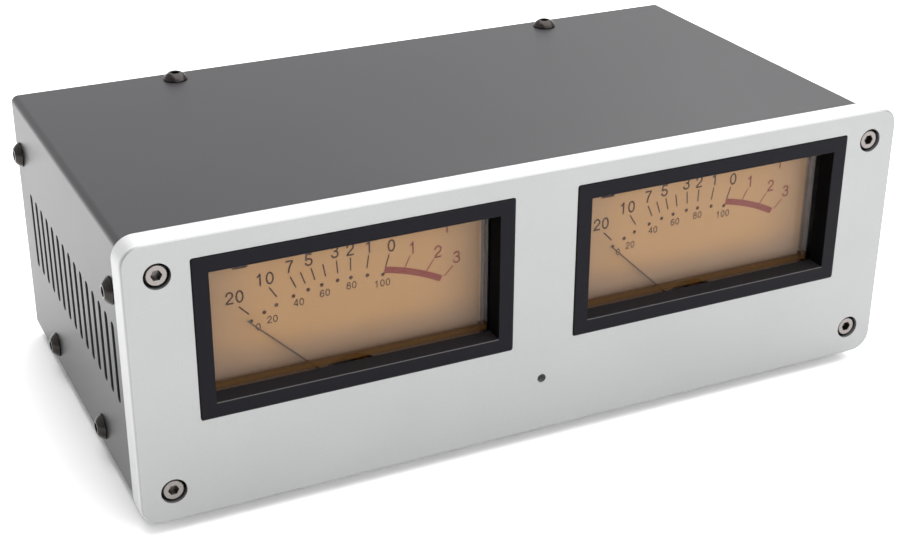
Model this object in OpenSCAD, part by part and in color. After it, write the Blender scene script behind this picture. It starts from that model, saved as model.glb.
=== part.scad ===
// Stereo level meter: two moving-coil meters behind a thick aluminium panel, in a
// ventilated folded steel case with its driver board, sockets and controls.
//
// x runs to the right as seen from the front, y runs to the back, z runs up.
// Sizes are worked out from the middle of the panel's width, from the panel's front
// face and from the panel's bottom edge. placed() then moves the whole device to its
// origin: the middle of its footprint, on the surface that it stands on.

/* [Front panel] */
// Width of the front panel
panel_w = 178; // [172:1:190]
// Height of the front panel
panel_h = 61; // [59:0.5:66]
// Thickness of the front panel
panel_t = 5.5; // [5:0.1:7]
// Radius of the panel's corners
panel_r = 4.5; // [2:0.5:6]
// Width of the cut along the panel's front edges
panel_edge = 0.5; // [0.3:0.1:1]
// Distance of the corner screws from the panel's edges
panel_screw_in = 7; // [6.5:0.1:7.5]
// Depth of the screw heads below the panel's face
panel_screw_sink = 0.45; // [0.2:0.05:1]
// Diameter of the microphone hole
mic_hole_d = 2; // [1:0.1:3]
// Height of the microphone hole above the panel's bottom edge
mic_z = 12.85; // [11.5:0.05:14]

/* [Case] */
// Distance from the panel's side edge to the case
case_in = 1.6; // [1:0.1:2.5]
// Distance from the panel's top edge to the case
case_drop = 2.45; // [1:0.05:3]
// Height of the case above the panel's bottom edge
case_lift = 0.6; // [0.2:0.1:1.5]
// Depth of the case behind the panel
case_d = 91.7; // [88:0.1:110]
// Thickness of the sheet metal
sheet_t = 1.2; // [1:0.1:1.5]
// Outer radius of the sheet metal's bends
bend_r = 1.6; // [1.6:0.1:2.5]
// Gap between the cover and the chassis
cover_gap = 0.1; // [0.05:0.05:0.2]
// Length of cover that stands out past the rear wall
cover_lap = 0.5; // [0.2:0.1:1]
// Width of the chassis flanges
flange_w = 9.4; // [9:0.1:11]
// Height of the panel's bottom edge above the surface it stands on
stand_h = 2.6; // [2:0.1:5]

/* [Vents] */
// Number of vent slots in each side
vent_n = 15; // [8:1:15]
// Distance from one vent slot to the next
vent_pitch = 5; // [4:0.1:5]
// Width of a vent slot
vent_w = 2.2; // [1.5:0.1:2.6]
// Length of a vent slot
vent_l = 18.2; // [10:0.2:22]
// Height of the middle of the vent slots
vent_z = 29; // [27:0.5:31]
// Distance of the first vent slot behind the panel's front face
vent_y = 16.4; // [15:0.2:17]

/* [Case screws] */
// Diameter of the case screws' thread
screw_d = 3; // [2.5:0.5:3]
// Length of the case screws
screw_l = 6; // [5:0.5:7]
// Diameter of the case screws' heads
screw_head_d = 5.7; // [5:0.1:6]
// Height of the case screws' heads
screw_head_h = 1.65; // [1.3:0.05:1.8]
// Distance of the rear screws from the rear edge of the case
rear_screw_in = 4.4; // [4.4:0.1:5]
// Distance of the upper front side screws behind the panel
front_screw_y = 9.4; // [8:0.1:9.5]
// Height of the upper side screws
high_screw_z = 45.7; // [43:0.1:47]
// Height of the lower side screws
low_screw_z = 5; // [5:0.1:6]
// Distance of the lower front side screws behind the panel
low_screw_y1 = 28.1; // [24:0.1:34]
// Distance of the lower rear side screws behind the panel
low_screw_y2 = 68.7; // [60:0.1:72]
// Distance of the top screws from the middle
top_screw_x = 49.6; // [40:0.1:70]

/* [Meters] */
// Distance from the panel's side edges to the black frames
bezel_in = 13.53; // [12.5:0.01:14.5]
// Distance from the panel's top edge to the black frames
bezel_drop = 4.8; // [3.5:0.05:5.5]
// Height of the frame's lower edge above the panel's bottom edge
bezel_z = 21.55; // [21:0.05:22.5]
// Width of the frame's bars
bezel_bar = 3.25; // [3:0.05:4.5]
// Height of the frame above the panel's face
bezel_proud = 0.2; // [0.1:0.02:1]
// Depth of the window behind the panel's face
lens_depth = 4.2; // [3.6:0.1:5]
// Thickness of the window
lens_t = 1.2; // [1:0.1:1.3]
// Width of the window's edge that the frame hides
lens_lap = 0.75; // [0.5:0.05:1.2]
// Thickness of the window's side walls
lens_wall = 1.6; // [1.2:0.1:2]
// Thickness of the window's lower wall
lens_foot = 1.6; // [1:0.1:2.4]
// Thickness of the window's mounting flange
lens_flange_t = 1; // [0.8:0.1:1.2]
// Thickness of the dial plate
dial_t = 0.6; // [0.4:0.1:1]
// Gap between the pointer and the dial plate
pointer_gap = 0.95; // [0.8:0.05:1.2]
// Gap between the pointer and the window's flange
pointer_front_gap = 0.2; // [0.2:0.05:0.4]
// Depth of the meter case behind the panel
meter_d = 24.5; // [24:0.5:28]
// Width of the meter case's flange outside the black frame
meter_over = 0.15; // [0.05:0.05:0.3]
// Width of the flange that the clips hold
meter_rim = 1.6; // [1.4:0.1:2]
// Height of the meter case's lower edge above the panel's bottom edge
meter_z0 = 4.5; // [4:0.1:4.8]
// Distance from the panel's top edge to the meter case
meter_drop = 5.8; // [5.5:0.1:6.1]
// Thickness of the meter case's walls
meter_wall = 1.3; // [1:0.1:1.6]

/* [Movement] */
// Gap between the yoke and the meter case's floor
movement_gap = 0.25; // [0.2:0.05:0.6]
// Distance of the pointer's axis from the middle of the frame
pivot_shift = 0.6; // [0:0.1:1]
// Angle of the resting pointer, to the left of upright
rest_angle = 46; // [40:1:48]
// Length of the pointer from its axis
pointer_l = 30.6; // [28:0.1:32]
// Thickness of the pointer
pointer_t = 0.3; // [0.2:0.05:0.4]
// Width of the pointer at its root
pointer_root_w = 0.5; // [0.4:0.05:1]
// Width of the pointer at its tip
pointer_tip_w = 0.26; // [0.2:0.02:0.4]
// Radius of the dial plate's arched opening at the axis
dial_arch_r = 8.3; // [8.2:0.1:9.2]
// Radius of the magnet core
core_r = 5.2; // [4.8:0.1:5.3]
// Length of the magnet core
core_l = 9; // [8:0.5:9]
// Gap between the core and the yoke
air_gap = 2.5; // [2.5:0.1:2.6]
// Thickness of the yoke ring
yoke_wall = 2.3; // [2.1:0.1:2.4]
// Width of the moving coil
coil_w = 3.2; // [2.6:0.1:3.4]
// Thickness of the moving coil's winding and former
coil_t = 1.2; // [0.9:0.1:1.3]
// Diameter of the coil's pivots
staff_d = 0.8; // [0.6:0.1:1]
// Number of turns of a hairspring
spring_turns = 4; // [3:1:5]
// Distance between the turns of a hairspring
spring_pitch = 0.6; // [0.55:0.05:0.65]
// Height of a hairspring's strip
spring_h = 0.3; // [0.2:0.05:0.35]
// Thickness of a hairspring's strip
spring_t = 0.12; // [0.08:0.02:0.16]
// Diameter of the terminal studs
stud_d = 3; // [2.5:0.5:3]
// Distance of the terminal studs from the pointer's axis
stud_x = 12; // [11.8:0.1:13]

/* [Driver board] */
// Width of the driver board
board_w = 126; // [124:1:134]
// Depth of the driver board
board_d = 50; // [48:1:52]
// Thickness of the driver board
board_t = 1.6; // [1.2:0.1:1.8]
// Height of the board's standoffs
standoff_h = 6; // [5:0.5:6.5]
// Distance of the board's screws from its edges
board_hole_in = 4; // [3.6:0.1:5]
// Diameter of the microphone capsule
mic_d = 9.7; // [6:0.1:9.8]
// Depth of the microphone capsule
mic_l = 6.7; // [5:0.1:8]
// Gap between the microphone's rubber sleeve and the meter cases
mic_gap = 0.37; // [0.3:0.01:1]
// Diameter of the wires
wire_d = 1.3; // [1:0.1:1.4]

/* [Rear fittings] */
// Height of the sockets and controls above the board
rear_axis_h = 8; // [8:0.1:9]
// Distance between the two phono sockets
rca_pitch = 14; // [13:0.5:16]
// Place of the phono sockets across the rear wall
rca_x = -38; // [-42:1:-34]
// Outer diameter of the phono sockets' sleeves
rca_d = 8.3; // [8.2:0.05:8.4]
// Length of the sleeves behind the rear wall
rca_l = 9; // [8:0.5:10]
// Place of the power socket across the rear wall
dc_x = 47; // [45:1:49]
// Bore of the power socket
dc_bore = 6.4; // [5.6:0.1:6.4]
// Diameter of the power socket's pin
dc_pin_d = 2.1; // [2:0.1:2.5]
// Place of the power switch across the rear wall
power_x = 30; // [28:1:32]
// Place of the input switch across the rear wall
input_x = 12; // [10:1:14]
// Diameter of the switches' threaded necks
switch_neck_d = 6; // [5.8:0.1:6]
// Length of the switches' threaded necks behind the wall
switch_neck_l = 7.8; // [7:0.1:8]
// Angle that the switch levers move through
switch_throw = 25; // [20:1:25]
// Length of the switch levers behind their necks
lever_l = 9.5; // [8:0.1:10]
// Place of the level control across the rear wall
level_x = -10; // [-12:1:-8]
// Diameter of the level control's shaft
shaft_d = 6; // [5.5:0.1:6]
// Diameter of the level control's threaded neck
level_neck_d = 7.6; // [7.4:0.1:8]
// Length of the level control's threaded neck behind the wall
level_neck_l = 6; // [5:0.5:7]
// Diameter of the level knob
knob_d = 13; // [12:0.5:14]
// Length of the level knob
knob_l = 12; // [11:0.5:13]
// Number of grooves around the level knob
knob_grooves = 24; // [18:2:30]

/* [Feet] */
// Diameter of the rubber feet
foot_d = 12; // [11:0.5:14]
// Distance of the feet from the sides of the case
foot_in_x = 12; // [11:0.5:16]
// Distance of the feet from the front and rear walls
foot_in_y = 12; // [11:0.5:16]

/* [Hidden] */
$fn = 48;

// small clearances
slip = 0.1;         // between pieces that slide together
thread_gap = 0.05;  // around a screw in its thread
run_gap = 0.05;     // around a turning shaft
hole_gap = 0.2;     // around a screw in a plain hole
eps = 0.01;         // lets a cut pass the face that it opens
deep = 400;         // longer than the whole device

// case
case_w = panel_w - 2 * case_in;
case_z0 = case_lift;
case_z1 = panel_h - case_drop;
case_y0 = panel_t;
case_y1 = panel_t + case_d;
tray_half = case_w / 2 - sheet_t - cover_gap;
tray_y1 = case_y1 - cover_lap;
tray_z1 = case_z1 - sheet_t - cover_gap;
floor_z = case_z0 + sheet_t;
wall_y = case_y0 + sheet_t;         // back of the chassis' front wall
rear_in = tray_y1 - sheet_t;        // inner face of the rear wall
bend_in = bend_r - sheet_t;
slit = 0.8;                         // width of the slits between flanges
side_flange_d = front_screw_y + 3.8;

// screws
screw_r = screw_d / 2;
nut_r = screw_r + 1;
nut_h = 1.8;
side_screw_at = [
    [case_y0 + front_screw_y, high_screw_z],
    [case_y1 - rear_screw_in, high_screw_z],
    [case_y0 + low_screw_y1, low_screw_z],
    [case_y0 + low_screw_y2, low_screw_z]];
panel_screw_d = 2.5;
panel_screw_r = panel_screw_d / 2;
panel_head_d = 4.5;
panel_head_h = 2.5;
panel_sink_d = 5.4;
panel_nut_r = min(2.1, panel_screw_in - case_drop - cover_gap - 2 * sheet_t - 0.05);
panel_nut_h = 1.6;
panel_screw_l = wall_y + panel_nut_h + 0.8 - panel_screw_sink - panel_head_h;
panel_screw_at = [for (x = [-1, 1], z = [panel_screw_in, panel_h - panel_screw_in])
    [x * (panel_w / 2 - panel_screw_in), z]];

// microphone
grommet_lip = 1;
grommet_wall = 1;
mic_r = mic_d / 2;
grommet_r = mic_r + grommet_wall;
mic_y0 = case_y0 + 0.6;              // front face of the capsule
mic_pin_x = 1.27;
mic_pin_l = 1.5;

// meters, each drawn round the middle of its frame
bezel_apart = 2 * (grommet_r + grommet_lip + mic_gap + meter_over);
bezel_w = (panel_w - 2 * bezel_in - bezel_apart) / 2;
bezel_h = panel_h - bezel_z - bezel_drop;
meter_pitch = bezel_w + bezel_apart;
meter_half_w = bezel_w / 2 + meter_over;
meter_z1 = panel_h - meter_drop;
meter_at = [-meter_pitch / 2, meter_pitch / 2];
bezel_mid_z = bezel_z + bezel_h / 2;
frame_gap = 0.15;                   // between the panel's opening and the frame
bezel_r = 0.4;
bezel_edge = 0.15;                  // cut along the frame's front edges
window_w = bezel_w - 2 * bezel_bar;
window_h = bezel_h - 2 * bezel_bar;
pane_w = window_w + 2 * lens_lap;
pane_h = window_h + 2 * lens_lap;
flange_z = (meter_z0 + meter_z1) / 2;
flange_h = meter_z1 - meter_z0;
meter_body_half = meter_half_w - meter_rim;
meter_front = panel_t + lens_flange_t;       // front face of the meter case
meter_back = panel_t + meter_d;
meter_rim_t = 1.5;
meter_gap = 0.2;                    // between the meter and the chassis' cut-out
pointer_y = meter_front + pointer_front_gap; // front face of the pointer
dial_y = pointer_y + pointer_t + pointer_gap;
dial_back = dial_y + dial_t;
dial_half_w = meter_body_half - meter_wall - slip;
dial_z1 = meter_z1 - meter_wall - slip;
dial_shelf_w = 1.4;                 // ledge in the case behind the dial plate

// movement, front to back
bridge_t = 1;
bridge_y = dial_back + 0.1;
hub_t = 0.4;
spring_y = bridge_y + bridge_t + 0.5;
hub_y = spring_y + spring_h + 0.3;
coil_y0 = hub_y + hub_t;
end_gap = 0.6;                      // between the coil's ends and the core
coil_end_t = 0.6;
core_y0 = coil_y0 + coil_end_t + end_gap;
core_y1 = core_y0 + core_l;
coil_y1 = core_y1 + end_gap + coil_end_t;
rear_spring_y = coil_y1 + 0.6;
rear_bridge_y = rear_spring_y + spring_h + 0.5;
yoke_in = core_r + air_gap;
yoke_out = yoke_in + yoke_wall;
pivot_z = meter_z0 + meter_wall + movement_gap + yoke_out;
dial_z0 = pivot_z + 5.8;
coil_in = core_r + (air_gap - coil_t) / 2;
coil_out = coil_in + coil_t;
holder_w = 4;
bridge_h = 4;
leg_w = yoke_wall - 0.7;
staff_r = staff_d / 2;
staff_in = 0.55;                    // length of a pivot inside its bridge
jewel_r = 1.2;
jewel_l = bridge_t + 1;
jewel_out = 0.2;                    // how far a jewel stands out towards the coil
cup_l = staff_in + jewel_out + 0.05;
spring_r0 = staff_r + 0.55;
post_spring_r = 0.35;
spring_end = spring_r0 + spring_turns * spring_pitch + post_spring_r + spring_t;
arm_r = 6;                          // reach of the pointer's balance arms
jog_r0 = 5.5;                       // where the pointer starts to bend forward
jog_r1 = dial_arch_r - 1.1;         // where it runs level with the dial again
mount_r = yoke_in + yoke_wall / 2;
mount_screw_d = 1.6;
post_r = yoke_wall / 2 + 0.25;
back_in = meter_back - meter_wall;  // inner face of the meter case's back
stud_r = stud_d / 2;
stud_head_r = stud_r + 1.2;
stud_head_h = 1.4;
stud_end = meter_back + 7;
stud_nut_h = 2.4;
lug_t = 0.5;
lug_r = stud_r + 1.4;
lug_l = 9;
lamp_z = pivot_z + 25;
lamp_board_w = 52;
lamp_board_h = 11;
lamp_board_t = 1.2;
lamp_pitch = 20;
lamp_w = 5;
lamp_h = 1.2;
lamp_lens_r = 2;
lamp_pin_r = 0.4;
lamp_pin_x = 1.8;
lamp_pin_end = meter_back + 3;

// clips
clip_t = 1.2;
clip_h = 12;
clip_z = 33;
clip_y = wall_y;
rim_back = meter_front + meter_rim_t;
clip_screw_deep = 3;                // depth of the tapped holes in the panel
clip_x = (meter_pitch / 2 + meter_half_w + tray_half - sheet_t) / 2;
clip_side_w = 3.4;

// driver board
board_z = floor_z + standoff_h;
board_top = board_z + board_t;
board_y1 = rear_in - 0.4;
board_y0 = board_y1 - board_d;
board_hole_at = [for (x = [-1, 1], y = [board_y0 + board_hole_in, board_y1 - board_hole_in])
    [x * (board_w / 2 - board_hole_in), y]];
axis_z = board_top + rear_axis_h;
wire_r = wire_d / 2;
lead_bend = 2.5;
lead_y = board_y0 + 2.5;
part_y = 31;                        // middle of the rear row of parts on the board
lead_pitch = 2.54;
regulator_x = 46;
regulator_w = 10;
regulator_t = 3.2;
regulator_h = 9;
regulator_lift = 4;
regulator_tab_t = 1.3;
regulator_tab_h = 15.4;
chip_x = [-18, 2];
chip_y = 17;
chip_w = 9.6;
chip_d = 6.4;
chip_h = 3.3;
chip_lift = 0.5;
trimmer_x = [-24, -14];
trimmer_w = 6.8;
trimmer_h = 4.4;
trimmer_r = 2.6;
resistor_x = -20;
resistor_y = [7, 8];
resistor_pitch = 4.5;
resistor_half = 2.6;
resistor_r = 1;
resistor_lift = 1.6;
resistor_lead_r = 0.3;
resistor_lead_l = 4.3;
// capacitors: [place across, place behind the board's front, radius, height]
capacitor_at = [
    [-46, 22, 5, 16], [-33, 22, 5, 16], [40, 18, 4, 11.5], [51, 18, 4, 11.5],
    [14, 22, 3.15, 11], [14, 31, 3.15, 11], [-2, 31, 3.15, 11]];

// rear fittings
rca_r = rca_d / 2;
rca_wall = 0.65;
rca_root_r = rca_r - 0.2;           // sleeve inside its housing and collar
rca_collar_r = rca_r + 0.75;
rca_collar_l = 1.5;
rca_body_d = 11;
rca_body_h = 13.6;
rca_contact_r = 1.65;
dc_snout_r = dc_bore / 2 + 0.7;
dc_body_w = 9;
dc_body_l = 13;
dc_body_h = rear_axis_h + 4.8;
switch_neck_r = switch_neck_d / 2;
switch_bore_r = switch_neck_r - 0.55;
switch_body_w = 8;
switch_body_h = rear_axis_h + 6.4;
switch_body_l = 10.5;
lever_pivot_y = tray_y1 + switch_neck_l - 4.5;
lever_ball_r = switch_bore_r - slip;
level_neck_r = level_neck_d / 2;
shaft_r = shaft_d / 2;
level_body_w = 16;
level_body_h = rear_axis_h + 8;
level_body_l = 8;
rear_nut_h = 2;
knob_y = tray_y1 + level_neck_l + 0.8;
knob_r = knob_d / 2;
device_y1 = knob_y + knob_l;

// feet
foot_h = stand_h + case_lift;
foot_at = [for (x = [-1, 1], y = [case_y0 + foot_in_y, case_y1 - foot_in_y])
    [x * (case_w / 2 - foot_in_x), y]];
foot_screw_l = 5;
foot_sole = 1.2;

middle_y = (device_y1 - bezel_proud) / 2;

module placed() translate([0, -middle_y, stand_h]) children();

// a flat outline in x and z, from y to y + t
module plate(y, t) translate([0, y + t, 0]) rotate([90, 0, 0]) linear_extrude(t) children();
// an outline in y and z, spread w to both sides of x = 0
module across(w) translate([-w, 0, 0]) rotate([90, 0, 90]) linear_extrude(2 * w) children();
// a round bar along y
module bar_y(y0, y1, r, r2 = -1) translate([0, y0, 0]) rotate([-90, 0, 0])
    cylinder(h = y1 - y0, r1 = r, r2 = r2 < 0 ? r : r2);
module ring_y(y0, y1, r_in, r_out) difference() {
    bar_y(y0, y1, r_out);
    bar_y(y0 - eps, y1 + eps, r_in);
}
module at(x, z) translate([x, 0, z]) children();
module box(low, high) translate(low) cube(high - low);
module each_side() for (s = [-1, 1]) scale([s, 1, 1]) children();
module each_meter() for (x = meter_at) translate([x, 0, 0]) children();

module rounded(w, h, r) {
    square([w - 2 * r, h], center = true);
    square([w, h - 2 * r], center = true);
    for (x = [-1, 1], y = [-1, 1]) translate([x * (w / 2 - r), y * (h / 2 - r)]) circle(r);
}

// a rounded slab whose front edges are cut off by e
module eased_slab(y, t, w, h, r, e) {
    for (x = [-1, 1], z = [-1, 1]) at(x * (w / 2 - r), z * (h / 2 - r)) {
        bar_y(y, y + e, r - e, r);
        bar_y(y + e, y + t, r);
    }
    across(w / 2 - r) polygon([[y, e - h / 2], [y, h / 2 - e], [y + e, h / 2],
        [y + t, h / 2], [y + t, -h / 2], [y + e, -h / 2]]);
    translate([0, 0, r - h / 2]) linear_extrude(h - 2 * r) polygon([[e - w / 2, y],
        [w / 2 - e, y], [w / 2, y + e], [w / 2, y + t], [-w / 2, y + t], [-w / 2, y + e]]);
}

// a box of sheet metal with round bends on all its edges
module bent_block(half_w, y0, y1, z0, z1, r) intersection() {
    across(half_w) translate([(y0 + y1) / 2, (z0 + z1) / 2]) rounded(y1 - y0, z1 - z0, r);
    plate(y0, y1 - y0) translate([0, (z0 + z1) / 2]) rounded(2 * half_w, z1 - z0, r);
    translate([0, (y0 + y1) / 2, z0]) linear_extrude(z1 - z0) rounded(2 * half_w, y1 - y0, r);
}

// a domed screw with a hexagon socket, its head on z = 0 and its thread below
module dome_screw(d, l, head_d, head_h) {
    rim = 0.25;
    r0 = head_d / 2;
    r1 = head_d * 0.27;
    below = (r0 * r0 + rim * rim - r1 * r1 - head_h * head_h) / (2 * (head_h - rim));
    ball = sqrt(r0 * r0 + (below + rim) * (below + rim));
    difference() {
        intersection() {
            cylinder(h = head_h, r = r0);
            translate([0, 0, -below]) sphere(ball);
        }
        translate([0, 0, head_h * 0.4]) cylinder(h = head_h, r = d * 0.385, $fn = 6);
    }
    translate([0, 0, -l]) cylinder(h = l + eps, r = d / 2 - thread_gap);
}

// a cylindrical screw with a hexagon socket, its head on z = 0 and its thread below
module socket_screw(d, l, head_d, head_h) {
    chamfer = 0.25;
    difference() {
        union() {
            cylinder(h = head_h - chamfer, r = head_d / 2);
            translate([0, 0, head_h - chamfer])
                cylinder(h = chamfer, r1 = head_d / 2, r2 = head_d / 2 - chamfer);
        }
        translate([0, 0, head_h / 2]) cylinder(h = head_h, r = d * 0.462, $fn = 6);
    }
    translate([0, 0, -l]) cylinder(h = l + eps, r = d / 2 - thread_gap);
}

// a screw with a slotted pan head, its head on z = 0 and its thread below
module slotted_screw(d, l, head_d, head_h) {
    difference() {
        cylinder(h = head_h, r = head_d / 2);
        translate([-head_d, -head_d * 0.08, head_h * 0.5]) cube([2 * head_d, head_d * 0.16, head_h]);
    }
    translate([0, 0, -l]) cylinder(h = l + eps, r = d / 2 - thread_gap);
}

// places for screws, with z pointing out of the face that carries the head
module at_panel_screws() for (p = panel_screw_at)
    translate([p[0], panel_screw_sink + panel_head_h, p[1]]) rotate([90, 0, 0]) children();
module at_side_screws(x) for (s = [-1, 1], p = side_screw_at)
    translate([s * x, p[0], p[1]]) rotate([0, s * 90, 0]) children();
module at_top_screws(z) for (s = [-1, 1])
    translate([s * top_screw_x, case_y1 - rear_screw_in, z]) children();
module at_feet(z) for (p = foot_at) translate([p[0], p[1], z]) rotate([180, 0, 0]) children();
module at_clip_screws() for (x = [-clip_x, 0, clip_x])
    translate([x, clip_y + clip_t, clip_z]) rotate([-90, 0, 0]) children();

module front_panel() color("silver") placed() difference() {
    translate([0, 0, panel_h / 2])
        eased_slab(0, panel_t, panel_w, panel_h, panel_r, panel_edge);
    for (x = meter_at) plate(-1, panel_t + 2) translate([x, bezel_mid_z])
        rounded(bezel_w + 2 * frame_gap, bezel_h + 2 * frame_gap, bezel_r + frame_gap);
    for (p = panel_screw_at) at(p[0], p[1]) {
        bar_y(-1, panel_screw_sink + panel_head_h, panel_sink_d / 2);
        bar_y(0, panel_t + 1, panel_screw_r + hole_gap);
    }
    for (x = [-clip_x, 0, clip_x]) at(x, clip_z)
        bar_y(panel_t - clip_screw_deep, panel_t + 1, screw_r);
    at(0, mic_z) bar_y(-1, panel_t + 1, mic_hole_d / 2);
}

module panel_screws() color("lightgray") placed() at_panel_screws()
    socket_screw(panel_screw_d, panel_screw_l, panel_head_d, panel_head_h);

module vent_slots() for (k = [0 : vent_n - 1]) translate([0, vent_y + k * vent_pitch, vent_z])
    across(panel_w) rounded(vent_w, vent_l, vent_w / 2 - eps);

module cover() color([0.22, 0.22, 0.23]) placed() difference() {
    plate(case_y0, case_d) difference() {
        translate([0, (case_z0 + case_z1) / 2]) union() {
            translate([0, bend_r / -2]) square([case_w, case_z1 - case_z0 - bend_r], center = true);
            rounded(case_w, case_z1 - case_z0, bend_r);
        }
        translate([0, (case_z0 + case_z1) / 2 - sheet_t]) union() {
            rounded(case_w - 2 * sheet_t, case_z1 - case_z0, bend_in);
            translate([0, -bend_r]) square([case_w - 2 * sheet_t, case_z1 - case_z0], center = true);
        }
    }
    vent_slots();
    at_side_screws(case_w / 2 + 1) translate([0, 0, -sheet_t - 2])
        cylinder(h = sheet_t + 3, r = screw_r + hole_gap);
    at_top_screws(case_z1 - sheet_t - 1) cylinder(h = sheet_t + 2, r = screw_r + hole_gap);
}

module cover_screws() color("dimgray") placed() {
    at_side_screws(case_w / 2) dome_screw(screw_d, screw_l, screw_head_d, screw_head_h);
    at_top_screws(case_z1) dome_screw(screw_d, screw_l, screw_head_d, screw_head_h);
}

module chassis() color([0.25, 0.25, 0.26]) placed() difference() {
    bent_block(tray_half, case_y0, tray_y1, case_z0, tray_z1, bend_r);
    bent_block(tray_half - sheet_t, wall_y, rear_in, floor_z, tray_z1 - sheet_t, bend_in);
    // open top, between a front and a rear flange
    box([-tray_half + flange_w + slit, case_y0 + flange_w, tray_z1 - sheet_t - 1],
        [tray_half - flange_w - slit, tray_y1 - flange_w, tray_z1 + 1]);
    each_side() {
        box([tray_half - flange_w - slit - eps, case_y0 - 1, tray_z1 - bend_r],
            [tray_half + 1, tray_y1 + 1, tray_z1 + 1]);
        // open side, above the lower flange
        box([tray_half - bend_r, case_y0 + side_flange_d, case_z0 + flange_w],
            [tray_half + 1, tray_y1 - flange_w, tray_z1 + 1]);
        for (y = [case_y0 + bend_r, tray_y1 - bend_r - slit])
            box([tray_half - bend_r, y, case_z0 - 1],
                [tray_half + 1, y + slit, case_z0 + flange_w + eps]);
        box([tray_half - bend_r, case_y0 + bend_r, case_z0 + flange_w],
            [tray_half + 1, tray_y1 - bend_r, case_z0 + flange_w + slit]);
    }
    // front wall
    for (x = meter_at) box(
        [x - meter_half_w - meter_gap, case_y0 - 1, meter_z0 - meter_gap],
        [x + meter_half_w + meter_gap, wall_y + 1, meter_z1 + meter_gap]);
    for (p = panel_screw_at) at(p[0], p[1]) bar_y(0, wall_y + 1, panel_screw_r + hole_gap);
    for (x = [-clip_x, 0, clip_x]) at(x, clip_z) bar_y(0, wall_y + 1, screw_r + hole_gap);
    at(0, mic_z) bar_y(0, wall_y + 1, grommet_r);
    // rear wall
    for (x = [-1, 1]) at(rca_x + x * rca_pitch / 2, axis_z)
        bar_y(rear_in - 1, tray_y1 + 1, rca_collar_r + hole_gap);
    at(dc_x, axis_z) bar_y(rear_in - 1, tray_y1 + 1, dc_snout_r + hole_gap);
    for (x = [power_x, input_x]) at(x, axis_z)
        bar_y(rear_in - 1, tray_y1 + 1, switch_neck_r + hole_gap);
    at(level_x, axis_z) bar_y(rear_in - 1, tray_y1 + 1, level_neck_r + hole_gap);
    // screw holes in the flanges and the floor
    at_side_screws(tray_half + 1) translate([0, 0, -sheet_t - 2])
        cylinder(h = sheet_t + 3, r = screw_r + hole_gap);
    at_top_screws(tray_z1 - sheet_t - 1) cylinder(h = sheet_t + 2, r = screw_r + hole_gap);
    at_feet(floor_z + 1) cylinder(h = sheet_t + 2, r = screw_r + hole_gap);
    for (p = board_hole_at) translate([p[0], p[1], case_z0 - 1])
        cylinder(h = sheet_t + 2, r = screw_r + hole_gap);
}

module clinch_nut(r_in, r_out, h) difference() {
    cylinder(h = h, r = r_out);
    translate([0, 0, -1]) cylinder(h = h + 2, r = r_in);
}

module clinch_nuts() color("gainsboro") placed() {
    at_side_screws(tray_half - sheet_t) translate([0, 0, -nut_h])
        clinch_nut(screw_r, nut_r, nut_h);
    at_top_screws(tray_z1 - sheet_t - nut_h) clinch_nut(screw_r, nut_r, nut_h);
    at_feet(floor_z + nut_h) clinch_nut(screw_r, nut_r, nut_h);
    for (p = panel_screw_at) at(p[0], p[1])
        ring_y(wall_y, wall_y + panel_nut_h, panel_screw_r, panel_nut_r);
}

module feet() color([0.08, 0.08, 0.08]) placed() at_feet(case_z0) difference() {
    union() {
        cylinder(h = foot_h - 0.6, r = foot_d / 2);
        translate([0, 0, foot_h - 0.6]) cylinder(h = 0.6, r1 = foot_d / 2, r2 = foot_d / 2 - 0.6);
    }
    translate([0, 0, -1]) cylinder(h = foot_h + 2, r = screw_r + hole_gap);
    translate([0, 0, foot_sole]) cylinder(h = foot_h, r = screw_head_d / 2 + 0.3);
}

module foot_screws() color("gainsboro") placed() at_feet(case_z0 - foot_sole)
    dome_screw(screw_d, foot_screw_l, screw_head_d, screw_head_h);

module bezel() difference() {
    translate([0, 0, bezel_mid_z])
        eased_slab(-bezel_proud, panel_t + bezel_proud, bezel_w, bezel_h, bezel_r, bezel_edge);
    plate(-bezel_proud - 1, panel_t + 3) translate([0, bezel_mid_z])
        square([window_w, window_h], center = true);
    plate(lens_depth, panel_t) translate([0, bezel_mid_z])
        square([pane_w + 2 * slip, pane_h + 2 * slip], center = true);
}
module bezel_left() color([0.1, 0.1, 0.11]) placed() at(meter_at[0], 0) bezel();
module bezel_right() color([0.1, 0.1, 0.11]) placed() at(meter_at[1], 0) bezel();

// the window: a raised pane on a flange, with side walls that reach the dial plate
module window() difference() {
    union() {
        plate(lens_depth, meter_front - lens_depth) translate([0, bezel_mid_z])
            square([pane_w, pane_h], center = true);
        plate(panel_t, lens_flange_t) translate([0, flange_z])
            rounded(2 * meter_half_w, flange_h, 1);
        plate(meter_front - eps, dial_y - meter_front + eps) translate([0, bezel_mid_z])
            difference() {
                square([2 * dial_half_w, pane_h - 2], center = true);
                square([pane_w - 2 * lens_wall, pane_h], center = true);
            }
    }
    plate(lens_depth + lens_t, dial_y) translate([0, bezel_mid_z + (lens_foot - lens_wall) / 2])
        square([pane_w - 2 * lens_wall, pane_h - lens_wall - lens_foot], center = true);
}
module window_left() color([0.8, 0.85, 0.85, 0.4]) placed() at(meter_at[0], 0) window();
module window_right() color([0.8, 0.85, 0.85, 0.4]) placed() at(meter_at[1], 0) window();

module dial() plate(dial_y, dial_t) difference() {
    translate([-dial_half_w, dial_z0]) square([2 * dial_half_w, dial_z1 - dial_z0]);
    translate([pivot_shift, pivot_z]) circle(dial_arch_r);
}
module dial_left() color([0.78, 0.62, 0.42]) placed() at(meter_at[0], 0) dial();
module dial_right() color([0.78, 0.62, 0.42]) placed() at(meter_at[1], 0) dial();

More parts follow.
